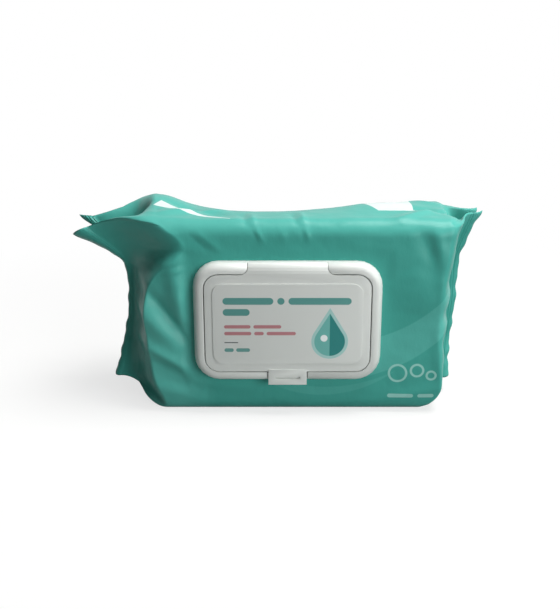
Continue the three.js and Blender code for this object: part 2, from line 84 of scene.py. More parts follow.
class Shader:
    """A material's node tree, with small helpers that keep its graph readable."""

    def __init__(self, name: str) -> None:
        """Start an empty node tree.

        Args:
            name: the name of the material it makes.
        """
        self.material = bpy.data.materials.new(name)
        self.material.use_nodes = True
        self.tree = self.material.node_tree
        self.tree.nodes.clear()
        self.coords = self.add("ShaderNodeTexCoord").outputs["Object"]

    def add(self, kind: str, links: dict | None = None, **settings: object) -> bpy.types.Node:
        """Add a node.

        Args:
            kind: the node's type name.
            links: socket name or index to a value or to another node's output.
            settings: attributes of the node.

        Returns:
            The new node.
        """
        node = self.tree.nodes.new(kind)
        for key, value in settings.items():
            setattr(node, key, value)
        for key, value in (links or {}).items():
            if isinstance(value, bpy.types.NodeSocket):
                self.tree.links.new(value, node.inputs[key])
            else:
                node.inputs[key].default_value = value
        return node

    def math(self, operation: str, a: Value, b: Value = 0.0, c: Value = 0.0) -> Socket:
        """Combine numbers with one arithmetic node and return its result."""
        return self.add("ShaderNodeMath", {0: a, 1: b, 2: c}, operation=operation).outputs[0]

    def span(self, value: Value, start: float, end: float, low: float, high: float) -> Socket:
        """Map a value's range onto another one, held at both ends.

        Args:
            value: what is mapped.
            start: the value that gives low.
            end: the value that gives high.
            low: the result at the start.
            high: the result at the end.

        Returns:
            The mapped value.
        """
        links = {0: value, 1: start, 2: end, 3: low, 4: high}
        return self.add("ShaderNodeMapRange", links, clamp=True).outputs[0]

    def axes(self) -> tuple[Socket, Socket, Socket]:
        """Split the object's own coordinates, in metres, into x, y and z."""
        node = self.add("ShaderNodeSeparateXYZ", {0: self.coords})
        return node.outputs[0], node.outputs[1], node.outputs[2]

    def length(self, a: Value, b: Value) -> Socket:
        """Length of the vector with these two parts."""
        return self.math("SQRT", self.math("ADD", self.math("MULTIPLY", a, a), self.math("MULTIPLY", b, b)))

    def below(self, value: Value, edge: float, soft: float) -> Socket:
        """Mask that is 1 below an edge and 0 above it, over a soft width."""
        return self.span(value, edge - soft / 2, edge + soft / 2, 1.0, 0.0)

    def above(self, value: Value, edge: float, soft: float) -> Socket:
        """Mask that is 0 below an edge and 1 above it, over a soft width."""
        return self.math("SUBTRACT", 1.0, self.below(value, edge, soft))

    def disc(self, centre: Point, radius: float, soft: float = 0.25) -> Socket:
        """Mask of a disc in the plane of the lid.

        Args:
            centre: its middle, (x, z) in millimetres.
            radius: its radius in millimetres.
            soft: the width over which its edge fades, in millimetres.

        Returns:
            The mask.
        """
        x, _, z = self.axes()
        dx = self.math("SUBTRACT", x, centre[0] * MM)
        dz = self.math("SUBTRACT", z, centre[1] * MM)
        return self.below(self.length(dx, dz), radius * MM, soft * MM)

    def bar(self, low: Point, high: Point, soft: float = 0.2) -> Socket:
        """Mask of a bar with rounded ends in the plane of the lid.

        Args:
            low: its lower left corner, (x, z) in millimetres.
            high: its upper right corner.
            soft: the width over which its edge fades, in millimetres.

        Returns:
            The mask.
        """
        x, _, z = self.axes()
        radius = (high[1] - low[1]) / 2
        mid_x, mid_z = (low[0] + high[0]) / 2, (low[1] + high[1]) / 2
        half = max((high[0] - low[0]) / 2 - radius, 0.0)
        off = self.math("ABSOLUTE", self.math("SUBTRACT", x, mid_x * MM))
        dx = self.math("MAXIMUM", self.math("SUBTRACT", off, half * MM), 0.0)
        dz = self.math("SUBTRACT", z, mid_z * MM)
        return self.below(self.length(dx, dz), radius * MM, soft * MM)

    def join(self, *masks: Socket) -> Socket:
        """The union of several masks.

        Args:
            masks: the masks.

        Returns:
            The highest of them at each point.
        """
        total = masks[0]
        for mask in masks[1:]:
            total = self.math("MAXIMUM", total, mask)
        return total

    def both(self, *masks: Socket) -> Socket:
        """The overlap of several masks.

        Args:
            masks: the masks.

        Returns:
            Their product at each point.
        """
        total = masks[0]
        for mask in masks[1:]:
            total = self.math("MULTIPLY", total, mask)
        return total

    def without(self, mask: Socket, cut: Socket) -> Socket:
        """One mask with another cut out of it."""
        return self.math("MULTIPLY", mask, self.math("SUBTRACT", 1.0, cut))

    def share(self, mask: Socket, amount: float) -> Socket:
        """A mask at a part of its strength."""
        return self.math("MULTIPLY", mask, amount)

    def mix(self, factor: Value, a: Value, b: Value) -> Socket:
        """Mix two colours.

        Args:
            factor: 0 gives the first one and 1 the second.
            a: the first colour.
            b: the second colour.

        Returns:
            The mixed colour.
        """
        node = self.add("ShaderNodeMix", {0: factor}, data_type="RGBA")
        for index, value in ((6, a), (7, b)):
            if isinstance(value, bpy.types.NodeSocket):
                self.tree.links.new(value, node.inputs[index])
            else:
                node.inputs[index].default_value = value
        return node.outputs[2]

    def noise(self, per_metre: float, detail: float = 4.0, stretch: Place = (1, 1, 1)) -> Socket:
        """Fractal noise in the object's own coordinates.

        Args:
            per_metre: features in a metre.
            detail: octaves.
            stretch: scale along each axis.

        Returns:
            The noise value, around 0.5.
        """
        mapped = self.add("ShaderNodeMapping", {"Vector": self.coords, "Scale": stretch}).outputs[0]
        links = {"Vector": mapped, "Scale": per_metre, "Detail": detail}
        return self.add("ShaderNodeTexNoise", links).outputs[0]

    def varied(self, per_metre: float, low: float, high: float) -> Socket:
        """A number that drifts between two values in soft patches, so many to a metre."""
        links = {0: self.noise(per_metre, 3.0), 3: low, 4: high}
        return self.add("ShaderNodeMapRange", links).outputs[0]

    def bump(self, height: Socket, distance: float, strength: float = 1.0,
             normal: Socket | None = None) -> Socket:
        """Turn a height into a normal.

        Args:
            height: the relief, from 0 to 1.
            distance: its depth in metres.
            strength: the share of it that shows.
            normal: a coarser relief under it.

        Returns:
            The normal.
        """
        links = {"Height": height, "Distance": distance, "Strength": strength}
        if normal is not None:
            links["Normal"] = normal
        return self.add("ShaderNodeBump", links).outputs[0]

    def surface(self, **sockets: Value) -> bpy.types.Material:
        """Finish with a Principled surface.

        Args:
            sockets: its sockets' names, with underscores for spaces, and their values or outputs.

        Returns:
            The finished material.
        """
        links = {key.replace("_", " "): value for key, value in sockets.items()}
        node = self.add("ShaderNodeBsdfPrincipled", links)
        self.add("ShaderNodeOutputMaterial", {"Surface": node.outputs[0]})
        return self.material


# Laminate film is printed on the inside of its clear skin and then pressed. The eye sees a deep, even
# teal under a satin skin, with broad soft highlights along the folds that a fine crinkle breaks up.
@dataclass(frozen=True)
class PrintedFilm:
    """Polyester and polyethylene laminate, reverse printed: the ink lies under a clear satin skin.

    Circles are ((x, z), radius), bars are two corners (x, z) and edges are places, all in millimetres.
    """

    base: str = "3F9E92"
    # The lighter teal is printed ink in the drift and the bands, and also painted light on the lower left of
    # the front and on the crown.
    light: str = "5AB3A8"
    pale: str = "9CD2C9"
    white: str = "E6EEEC"
    roughness: float = 0.33
    ior: float = 1.46
    gloss: float = 0.2
    front_edge: float = -22.5
    band: tuple = (((24.0, 107.0), 86.5), ((30.0, 118.0), 74.0))
    foot: tuple = (((18.0, 77.0), 66.0), ((20.0, 100.0), 84.0))
    bands_from: float = -18.0
    bands_under: float = 82.0
    # Painted light: the front is lighter left of this place and under this height.
    painted_light_left_of: float = -52.0
    painted_light_under: float = 80.0
    # Painted highlight: the crown above this height is lighter, as light from above falls on it.
    painted_top_light_over: float = 108.0
    print_over: float = 103.0
    stroke_line: tuple[Point, Point] = ((-77.0, -3.0), (-34.0, -25.0))
    stroke_widths: Point = (4.2, 0.2)
    field_slant: float = 0.45
    field_left: float = 44.5
    field_right: float = 70.5
    field_front: float = -11.5
    field_back: float = 29.5
    bubbles: tuple = (((61.5, 24.8), 5.6), ((72.6, 26.6), 4.2), ((80.8, 23.6), 3.2))
    bubble_line: float = 1.3
    drift_share: float = 0.35
    band_share: float = 0.75
    foot_share: float = 0.5
    # Shares of the painted light at the lower left of the front and of the painted highlight on the crown.
    painted_light_share: float = 0.8
    painted_top_light_share: float = 0.65
    motif_share: float = 0.9
    top_share: float = 0.85
    crinkles_per_metre: float = 160.0
    crinkle_depth: float = 0.9
    grains_per_metre: float = 1400.0
    grain_depth: float = 0.02
    dashes: tuple = (((56.0, 9.6), (71.0, 12.0)), ((73.5, 9.6), (83.0, 12.0)))

    def swooshes(self, s: Shader) -> tuple[Socket, Socket]:
        """The wide tonal bands that sweep over the lower right of the front.

        Args:
            s: the node tree.

        Returns:
            The mask of the band and that of the fainter one at its foot.
        """
        x, _, z = s.axes()
        low_right = s.both(s.above(x, self.bands_from * MM, 0.03), s.below(z, self.bands_under * MM, 0.012))
        band, foot = (s.without(s.disc(*outer, 0.5), s.disc(*inner, 0.5))
                      for outer, inner in (self.band, self.foot))
        return s.both(band, low_right), s.both(foot, low_right)

    def stroke(self, s: Shader) -> Socket:
        """A tapered stroke on the top.

        Args:
            s: the node tree.

        Returns:
            The stroke's mask.
        """
        start, end = self.stroke_line
        x, y, _ = s.axes()
        length = math.dist(start, end) * MM
        ux, uy = (end[0] - start[0]) * MM / length, (end[1] - start[1]) * MM / length
        dx, dy = s.math("SUBTRACT", x, start[0] * MM), s.math("SUBTRACT", y, start[1] * MM)
        along = s.math("ADD", s.math("MULTIPLY", dx, ux), s.math("MULTIPLY", dy, uy))
        across = s.math("SUBTRACT", s.math("MULTIPLY", dx, uy), s.math("MULTIPLY", dy, ux))
        wide, narrow = self.stroke_widths
        half = s.add("ShaderNodeMapRange", {0: along, 1: 0.0, 2: length, 3: wide * MM, 4: narrow * MM})
        inside = s.both(s.below(along, length, 0.4 * MM), s.above(along, 0.0, 0.4 * MM))
        over = s.math("SUBTRACT", s.math("ABSOLUTE", across), half.outputs[0])
        return s.both(inside, s.below(over, 0.0, 0.3 * MM))

    def top_print(self, s: Shader) -> Socket:
        """The white print on the top: a tapered stroke at the left and a plain field at the right.

        Args:
            s: the node tree.

        Returns:
            The print's mask.
        """
        x, y, z = s.axes()
        edge = 0.4 * MM
        slant = s.math("ADD", x, s.math("MULTIPLY", y, self.field_slant))
        field = s.both(s.above(slant, self.field_left * MM, edge), s.below(x, self.field_right * MM, edge),
                       s.above(y, self.field_front * MM, edge), s.below(y, self.field_back * MM, edge))
        return s.both(s.above(z, self.print_over * MM, 1.0 * MM), s.join(self.stroke(s), field))

    def motif(self, s: Shader) -> Socket:
        """Three outlined bubbles and two dashes at the lower right of the front.

        Args:
            s: the node tree.

        Returns:
            The motif's mask.
        """
        rings = [s.without(s.disc(c, r), s.disc(c, r - self.bubble_line)) for c, r in self.bubbles]
        return s.join(*rings, *(s.bar(low, high) for low, high in self.dashes))

    def tones(self, s: Shader) -> Socket:
        """Where the lighter tone goes: printed bands on the front, painted light on the lower left of the
        front, and a painted highlight over the whole crown.

        Args:
            s: the node tree.

        Returns:
            The share of the lighter tone.
        """
        x, y, z = s.axes()
        on_front = s.below(y, self.front_edge * MM, 3.0 * MM)
        band, foot = self.swooshes(s)
        # Painted light: the lower left of the front is lighter, where its folds catch the light.
        painted_light_patch = s.both(s.below(x, self.painted_light_left_of * MM, 0.02), s.below(z, self.painted_light_under * MM, 0.04))
        front = s.join(s.share(band, self.band_share), s.share(foot, self.foot_share),
                       s.share(painted_light_patch, self.painted_light_share))
        # Painted highlight: the whole crown is lighter, as light from above falls on the top.
        crown = s.share(s.above(z, self.painted_top_light_over * MM, 0.010), self.painted_top_light_share)
        return s.join(s.both(front, on_front), crown)

    def build(self) -> bpy.types.Material:
        """Build the film's material: ink under a skin with crinkles drawn coarser than real ones.

        Returns:
            The finished material.
        """
        s = Shader("printed_laminate_film")
        light = to_linear(self.light)
        on_front = s.below(s.axes()[1], self.front_edge * MM, 3.0 * MM)
        colour = s.mix(s.share(s.noise(9.0, 2.0), self.drift_share), to_linear(self.base), light)
        # Printed bands, painted light at the lower left of the front and a painted highlight on the crown.
        colour = s.mix(self.tones(s), colour, light)
        motif = s.both(s.share(self.motif(s), self.motif_share), on_front)
        colour = s.mix(motif, colour, to_linear(self.pale))
        colour = s.mix(s.share(self.top_print(s), self.top_share), colour, to_linear(self.white))
        crinkle = s.noise(self.crinkles_per_metre, 5.0, (1.0, 1.0, 0.55))
        grain = s.noise(self.grains_per_metre, 2.0)
        rough = s.varied(60.0, self.roughness - 0.05, self.roughness + 0.09)
        folds = s.bump(crinkle, self.crinkle_depth * MM, 0.28)
        normal = s.bump(grain, self.grain_depth * MM, 0.5, folds)
        return s.surface(Base_Color=colour, Roughness=rough, IOR=self.ior, Normal=normal,
                         Specular_IOR_Level=self.gloss)


# Polypropylene shot into a spark-eroded mould comes out off-white with a very fine texture, so its rims
# catch wide, soft highlights, and a little light goes into it. Large flats sink slightly as they cool.
@dataclass(frozen=True)
class MouldedPolypropylene:
    """Injection-moulded polypropylene, with a plain printed label design where it is printed.

    Bars are two corners (x, z), and the drop's middle, radius and tip are in millimetres too.
    """

    name: str
    colour: str = "DFE1DE"
    shade: str = "D6D9D5"
    roughness: float = 0.42
    ior: float = 1.49
    printed: bool = False
    print_plane: float = -39.5
    teal: str = "2F8C86"
    deep: str = "1F7F7C"
    mid: str = "6BB3AC"
    pale: str = "A5CFCB"
    red: str = "B5616B"
    dark: str = "5E6466"
    glint: str = "F2F7F6"
    head_bars: tuple = (
        ((-38.2, 68.6), (-10.0, 72.6)), ((-7.6, 68.6), (-4.0, 72.6)), ((-1.6, 68.6), (33.4, 72.6)),
        ((-38.2, 62.1), (-23.2, 66.1)))
    red_bars: tuple = (
        ((-37.6, 54.6), (-22.8, 56.6)), ((-21.2, 54.6), (-5.6, 56.6)), ((-37.6, 50.6), (-22.4, 52.6)),
        ((-20.8, 50.6), (-15.4, 52.6)), ((-13.8, 50.6), (2.6, 52.6)))
    rule: tuple = ((-37.6, 45.9), (-29.8, 46.5))
    foot_bars: tuple = (((-37.6, 40.6), (-32.4, 42.8)), ((-31.0, 40.6), (-23.2, 42.8)))
    drop_centre: Point = (21.6, 46.8)
    drop_radius: float = 8.6
    drop_tip: float = 63.4
    drop_outline: float = 1.7
    glint_centre: Point = (18.4, 48.8)
    glint_radius: float = 2.0
    texture_per_metre: float = 1900.0
    texture_depth: float = 0.03
    sink_per_metre: float = 35.0
    sink_depth: float = 0.4

    def lettering_bars(self, s: Shader, colour: Value) -> Socket:
        """Plain bars where a label's lines of print would stand.

        Args:
            s: the node tree.
            colour: the bare plastic.

        Returns:
            The plastic with the bars on it.
        """
        head, red, foot = (s.join(*(s.bar(low, high) for low, high in bars))
                           for bars in (self.head_bars, self.red_bars, self.foot_bars))
        colour = s.mix(s.share(head, 0.9), colour, to_linear(self.teal))
        colour = s.mix(s.share(red, 0.85), colour, to_linear(self.red))
        colour = s.mix(s.bar(*self.rule, 0.1), colour, to_linear(self.dark))
        return s.mix(s.share(foot, 0.85), colour, to_linear(self.teal))

    def drop(self, s: Shader, grow: float) -> Socket:
        """A water drop: a disc with a pointed top.

        Args:
            s: the node tree.
            grow: how far it is grown all round, in millimetres.

        Returns:
            The drop's mask.
        """
        x, _, z = s.axes()
        disc = s.disc(self.drop_centre, self.drop_radius + grow)
        sine = self.drop_radius / (self.drop_tip - self.drop_centre[1])
        tangent_z = self.drop_centre[1] + self.drop_radius * sine
        slope = sine / math.sqrt(1 - sine * sine)
        off = s.math("ABSOLUTE", s.math("SUBTRACT", x, self.drop_centre[0] * MM))
        edge = s.math("MULTIPLY", s.math("SUBTRACT", (self.drop_tip + grow / sine) * MM, z), slope)
        cone = s.below(s.math("SUBTRACT", off, edge), 0.0, 0.25 * MM)
        return s.join(disc, s.both(cone, s.above(z, tangent_z * MM, 0.02 * MM)))

    def emblem(self, s: Shader, colour: Value) -> Socket:
        """A two-tone water drop with a pale outline and a round glint.

        Args:
            s: the node tree.
            colour: what lies under it.

        Returns:
            The colour with the drop on it.
        """
        x = s.axes()[0]
        colour = s.mix(self.drop(s, self.drop_outline), colour, to_linear(self.pale))
        colour = s.mix(self.drop(s, 0.0), colour, to_linear(self.mid))
        right = s.above(x, self.drop_centre[0] * MM, 0.2 * MM)
        colour = s.mix(s.both(self.drop(s, 0.0), right), colour, to_linear(self.deep))
        return s.mix(s.disc(self.glint_centre, self.glint_radius), colour, to_linear(self.glint))

    def build(self) -> bpy.types.Material:
        """Build the plastic's material, with a texture of about half a millimetre and faint sink.

        Returns:
            The finished material.
        """
        s = Shader(self.name)
        colour = s.mix(s.noise(14.0, 2.0), to_linear(self.colour), to_linear(self.shade))
        if self.printed:
            ink = self.emblem(s, self.lettering_bars(s, colour))
            colour = s.mix(s.below(s.axes()[1], self.print_plane * MM, 0.1 * MM), colour, ink)
        texture = s.noise(self.texture_per_metre, 3.0)
        sink = s.bump(s.noise(self.sink_per_metre, 2.0), self.sink_depth * MM, 0.1)
        rough = s.varied(90.0, self.roughness - 0.04, self.roughness + 0.06)
        normal = s.bump(texture, self.texture_depth * MM, 0.35, sink)
        return s.surface(Base_Color=colour, Roughness=rough, IOR=self.ior, Normal=normal,
                         Subsurface_Weight=0.06, Subsurface_Radius=(0.004, 0.0036, 0.003))


# Water jets tangle the fibres and an embossing roll presses dots into them. Damp with lotion, the cloth
# is matt with a faint sheen of lint, light soaks into it, and the dots show as a soft even grid.
@dataclass(frozen=True)
class SpunlaceNonwoven:
    """Hydro-entangled viscose and polyester: matt damp fibres with a dotted emboss every 3 mm."""

    colour: str = "ECEEEC"
    hollow: str = "E2E6E4"
    roughness: float = 0.72
    ior: float = 1.45
    dot_pitch: float = 3.0
    fibres_per_metre: float = 900.0
    fibre_depth: float = 0.3
    emboss_depth: float = 0.3

    def build(self) -> bpy.types.Material:
        """Build the wipe's material. Its fibres are drawn far too coarse, so that they show.

        Returns:
            The finished material.
        """
        s = Shader("damp_spunlace_nonwoven")
        x, y, z = s.axes()
        k = 2 * math.pi / (self.dot_pitch * MM)
        across = s.math("SINE", s.math("MULTIPLY", x, k))
        waves = s.both(across, s.math("SINE", s.math("MULTIPLY", s.math("ADD", z, y), k)))
        fibres = s.noise(self.fibres_per_metre, 6.0, (1.0, 1.0, 0.3))
        tone = s.mix(fibres, to_linear(self.hollow), to_linear(self.colour))
        emboss = s.bump(waves, self.emboss_depth * MM, 0.35)
        normal = s.bump(fibres, self.fibre_depth * MM, 0.5, emboss)
        return s.surface(Base_Color=tone, Roughness=self.roughness, IOR=self.ior, Normal=normal,
                         Sheen_Weight=0.15, Sheen_Roughness=0.5, Subsurface_Weight=0.1,
                         Subsurface_Radius=(0.003, 0.003, 0.003))


# Seamless background paper is matt and uncoated: no highlight at all, only the pack's soft shadow.
@dataclass(frozen=True)
class StudioPaper:
    """Pale seamless paper that the camera and mirrors see as plain white.

    It sends a duller light back to the pack. Spans are (start, end) in metres and shares of the glow.
    """

    name: str
    colour: str = "F4F4F2"
    fleck: str = "F8F8F7"
    bounce: str = "8C8E8D"
    mirrored_share: float = 0.5
    near_far: Point = (0.14, 0.42)
    near_far_glow: Point = (0.72, 1.0)
    low_high: Point = (0.02, 0.3)
    low_high_glow: Point = (0.15, 0.8)

    def build(self) -> bpy.types.Material:
        """Build the paper's material.

        Returns:
            The finished material.
        """
        s = Shader(self.name)
        rays = s.add("ShaderNodeLightPath").outputs
        mirrored = s.join(rays["Is Glossy Ray"], rays["Is Transmission Ray"])
        seen = s.join(rays["Is Camera Ray"], rays["Is Transmission Ray"],
                      s.share(rays["Is Glossy Ray"], self.mirrored_share))
        tone = s.mix(s.noise(3.0, 2.0), to_linear(self.colour), to_linear(self.fleck))
        paper = s.add("ShaderNodeBsdfDiffuse", {
            "Color": s.mix(seen, to_linear(self.bounce), tone), "Roughness": 0.9})
        glow = s.add("ShaderNodeEmission", {"Color": (1, 1, 1, 1), "Strength": 1.0})
        x, y, z = s.axes()
        away = s.span(s.length(x, y), *self.near_far, *self.near_far_glow)
        wall = s.span(z, *self.low_high, *self.low_high_glow)
        strength = s.join(s.both(rays["Is Camera Ray"], away), s.both(mirrored, wall))
        lit = s.add("ShaderNodeMixShader", {0: strength, 1: paper.outputs[0], 2: glow.outputs[0]})
        s.add("ShaderNodeOutputMaterial", {"Surface": lit.outputs[0]})
        return s.material


def add_mesh(name: str, verts: list, faces: list, material: bpy.types.Material) -> bpy.types.Object:
    """Add a smooth mesh object.

    Args:
        name: the piece's name.
        verts: points in metres.
        faces: point numbers of each face.
        material: its finish.

    Returns:
        The new object.
    """
    mesh = bpy.data.meshes.new(name)
    mesh.from_pydata(verts, [], faces)
    mesh.materials.append(material)
    mesh.polygons.foreach_set("use_smooth", [True] * len(mesh.polygons))
    obj = bpy.data.objects.new(name, mesh)
    bpy.context.scene.collection.objects.link(obj)
    return obj


def face_outward(obj: bpy.types.Object, clean: bool = False) -> None:
    """Turn all faces of a piece outward.

    Args:
        obj: the piece.
        clean: whether its many-sided faces are cut into triangles and its unused points deleted.
    """
    shape = bmesh.new()
    shape.from_mesh(obj.data)
    if clean:
        bmesh.ops.triangulate(shape, faces=[f for f in shape.faces if len(f.verts) > 4])
        bmesh.ops.delete(shape, geom=[v for v in shape.verts if not v.link_faces], context="VERTS")
    bmesh.ops.recalc_face_normals(shape, faces=shape.faces)
    shape.to_mesh(obj.data)
    shape.free()


def grid_rim(rows: int, step: int) -> list[int]:
    """Go round the edge of a grid of points.

    Args:
        rows: how many rows it has.
        step: how many points a row has.

    Returns:
        The numbers of the points on its edge, in order.
    """
    rim = [i * step for i in range(rows)] + [(rows - 1) * step + k for k in range(1, step)]
    return rim + [i * step + step - 1 for i in range(rows - 2, -1, -1)] + list(range(step - 2, 0, -1))


@dataclass(frozen=True)
class Fold:
    """A soft or sharp ridge or valley of the film along a line, in millimetres."""

    start: Point
    end: Point
    width: float
    height: float
    crisp: float = 2.0

    def relief(self, u: np.ndarray, v: np.ndarray) -> np.ndarray:
        """Height of the fold, which sinks to about a third at both of its ends.

        Args:
            u: the points' first coordinate on their panel.
            v: their second one.

        Returns:
            The height at each point.
        """
        du, dv = self.end[0] - self.start[0], self.end[1] - self.start[1]
        t = np.clip(((u - self.start[0]) * du + (v - self.start[1]) * dv) / (du * du + dv * dv), 0, 1)
        off = np.hypot(u - self.start[0] - t * du, v - self.start[1] - t * dv) / self.width
        ends = 0.35 + 0.65 * np.sin(np.pi * np.clip(t, 0.02, 0.98)) ** 0.6
        return self.height * ends * np.exp(-off ** self.crisp)


@dataclass(frozen=True)
class Swell:
    """A rounded swell or dip of the film, in millimetres."""

    centre: Point
    reach: Point
    height: float

    def relief(self, u: np.ndarray, v: np.ndarray) -> np.ndarray:
        """Height of the swell.

        Args:
            u: the points' first coordinate on their panel.
            v: their second one.

        Returns:
            The height at each point.
        """
        off = ((u - self.centre[0]) / self.reach[0]) ** 2 + ((v - self.centre[1]) / self.reach[1]) ** 2
        return self.height * np.exp(-off)


class SealLine:
    """A smooth line through points, from the bottom of an end of the pack to its top."""

    def __init__(self, *points: Place) -> None:
        """Keep the points, with a mirrored point beyond each end.

        Args:
            points: places in millimetres, from the bottom to the top.
        """
        p = np.array(points, float)
        self.points = np.vstack([2 * p[0] - p[1], p, 2 * p[-1] - p[-2]])

    def at(self, share: np.ndarray) -> np.ndarray:
        """Points of the line.

        Args:
            share: how far up each point is, from 0 at the bottom to 1 at the top.

        Returns:
            An array of points, one row for each share.
        """
        spans = len(self.points) - 3
        s = np.clip(share, 0, 1) * spans
        i = np.minimum(s.astype(int), spans - 1)
        t = (s - i)[..., None]
        a, b, c, d = (self.points[i + k] for k in range(4))
        square, cube = 2 * a - 5 * b + 4 * c - d, 3 * b - a - 3 * c + d
        return 0.5 * (2 * b + (c - a) * t + square * t ** 2 + cube * t ** 3)


@dataclass(frozen=True)
class EndShape:
    """One crimped end: its root and cut edge, and how its four corners spread.

    A corner is its shift at the root and at the cut edge. Each place where the film is drawn in from the
    end is a height, the reach around it and the length of the draw. All are in millimetres.
    """

    side: int
    root: SealLine
    edge: SealLine
    top_front: tuple[Place, Place]
    top_back: tuple[Place, Place]
    under_front: tuple[Place, Place]
    under_back: tuple[Place, Place]
    drawn_in: tuple[Place, ...]
    front_ribs: float
    turn: float


# The left end is wrung into two ears at the top, with a hump behind them and a wing at its foot.
LEFT_END = EndShape(
    side=-1,
    root=SealLine((-104, -1, 12), (-98.5, 0, 33), (-94.5, 0, 57), (-97, 0, 84), (-119, 0, 108)),
    edge=SealLine((-106, 8, 13), (-100.5, 10, 32), (-95.5, 11, 56), (-99, 10, 82), (-125, 9, 106)),
    top_front=((2, -10, -2), (0, -17, -5)),
    top_back=((2, 9, 0), (-1, 4, 2)),
    under_front=((1, -4, 0), (0, -6, 0)),
    under_back=((2, 5, 0), (0, 7, 0)),
    drawn_in=((99, 14, 20), (60, 18, -3), (4, 14, 8)),
    front_ribs=0.12,
    turn=0.22)

# The right end is short and stands nearly straight.
RIGHT_END = EndShape(
    side=1,
    root=SealLine((92, 0, 10), (93, 0, 32), (95, 0, 57), (96, 0, 86), (104, 0, 113)),
    edge=SealLine((97, 7, 9), (97, 9, 32), (99, 10, 57), (101, 9, 86), (111, 8, 112)),
    top_front=((0, -5, 0), (0, -6, 1)),
    top_back=((0, 6, 0), (0, 6, 0)),
    under_front=((-1, -4, 0), (0, -5, 0)),
    under_back=((-1, 5, 0), (0, 5, 0)),
    drawn_in=((0, 8, 12), (60, 42, 5)),
    front_ribs=0.8,
    turn=0.8)


@dataclass(frozen=True)
class FilmRelief:
    """The folds and swells of the panels: (x, z) on the front and the back, (x, y) on the top."""

    front_folds: tuple[Fold, ...] = (
        Fold((-70, 103), (-66, 88), 7, 2.6), Fold((-66, 84), (-60, 54), 6, 3.4),
        Fold((-84, 62), (-62, 38), 6, 2.6), Fold((-81, 74), (-58, 44), 3.6, -2.6, 1.5),
        Fold((-82, 41), (-56, 25), 4.5, 3.2, 1.6), Fold((-58, 25), (-20, 17), 5, 1.5),
        Fold((-80, 31), (-50, 14), 6, -2.0), Fold((-76, 16), (-48, 9), 6, 1.6),
        Fold((-56, 106), (-42, 94), 2.2, -0.5, 1.5), Fold((-51, 107), (-38, 96), 2.2, 0.4, 1.5),
        Fold((-21, 113), (-16, 103), 1.8, 0.7, 1.6), Fold((-24, 113), (-19, 104), 1.6, -0.3, 1.5),
        Fold((7, 114), (9.5, 104), 1.6, 0.7, 1.6), Fold((4, 114), (6.5, 105), 1.5, -0.3, 1.5),
        Fold((-6, 112), (-4, 104), 2.4, 0.5), Fold((64, 88), (86, 62), 12, 1.6),
        Fold((62, 20), (88, 34), 10, 1.4), Fold((80, 112), (87, 70), 4.5, 1.6),
        Fold((72, 108), (84, 84), 4.0, -0.9), Fold((60, 8), (88, 16), 5, 1.2),
        Fold((84, 50), (87, 16), 4, 1.2))
    top_folds: tuple[Fold, ...] = (
        Fold((-21, -29), (-23, -12), 2.2, 0.9, 1.6), Fold((-25.5, -29), (-28, -14), 2.0, -0.6, 1.5),
        Fold((7, -29), (5, -10), 2.2, 0.9, 1.6), Fold((2.5, -29), (0, -14), 1.8, -0.6, 1.5),
        Fold((-78, -20), (-40, -2), 4.0, 1.6, 1.6), Fold((-72, 2), (-38, -14), 4.0, -1.4, 1.6),
        Fold((60, -26), (84, -8), 4.0, 1.8, 1.6), Fold((66, -2), (88, -12), 3.4, -2.2, 1.6),
        Fold((70, 20), (88, 4), 4.5, 1.6, 1.6), Fold((-60, 26), (-34, 12), 4.0, 1.0))
    top_swells: tuple[Swell, ...] = (
        Swell((-78, 12), (19, 24), 7.5), Swell((-6, 36), (62, 25), -12.0), Swell((52, 6), (32, 22), 3.6))
    back_swells: tuple[Swell, ...] = (
        Swell((-66, 92), (24, 14), 2.4), Swell((64, 90), (26, 16), 2.8),
        Swell((-64, 20), (28, 12), 2.0), Swell((60, 22), (30, 13), 1.8))
    back_folds: tuple[Fold, ...] = (
        Fold((-82, 100), (-40, 84), 4, 1.8, 1.6), Fold((-84, 80), (-50, 66), 3.5, -1.4, 1.6),
        Fold((84, 102), (46, 82), 4, 1.8, 1.6), Fold((86, 76), (52, 68), 3.5, -1.3, 1.6),
        Fold((-82, 14), (-44, 26), 4, 1.6, 1.6), Fold((86, 12), (50, 28), 4, 1.6, 1.6),
        Fold((-20, 110), (-14, 92), 3, 1.0), Fold((18, 110), (26, 90), 3, 1.0))


@dataclass(frozen=True)
class PouchSize:
    """Sizes of the filled pouch in millimetres, the same as the frame's, and the counts of its grid."""

    left: float = -80.0
    right: float = 88.0
    depth: float = 65.0
    height: float = 114.0
    edge_radius: float = 9.0
    seal_half: float = 0.45
    rib_height: float = 0.3
    ribs: int = 6
    lid_x: float = -2.0
    lid_width: float = 106.0
    lid_height: float = 70.0
    mouth_width: float = 63.0
    mouth_height: float = 29.0
    seam_z: float = 50.0
    seam_half: float = 8.0
    crown: float = 19.8
    pleat: float = 1.1
    slack: float = 0.45
    small_slack: float = 0.16
    front_lines: int = 112
    top_lines: int = 60
    back_lines: int = 84
    under_lines: int = 40
    body_sections: int = 170
    end_sections: int = 34
    sections_per_rib: int = 6
    still_sections: int = 30


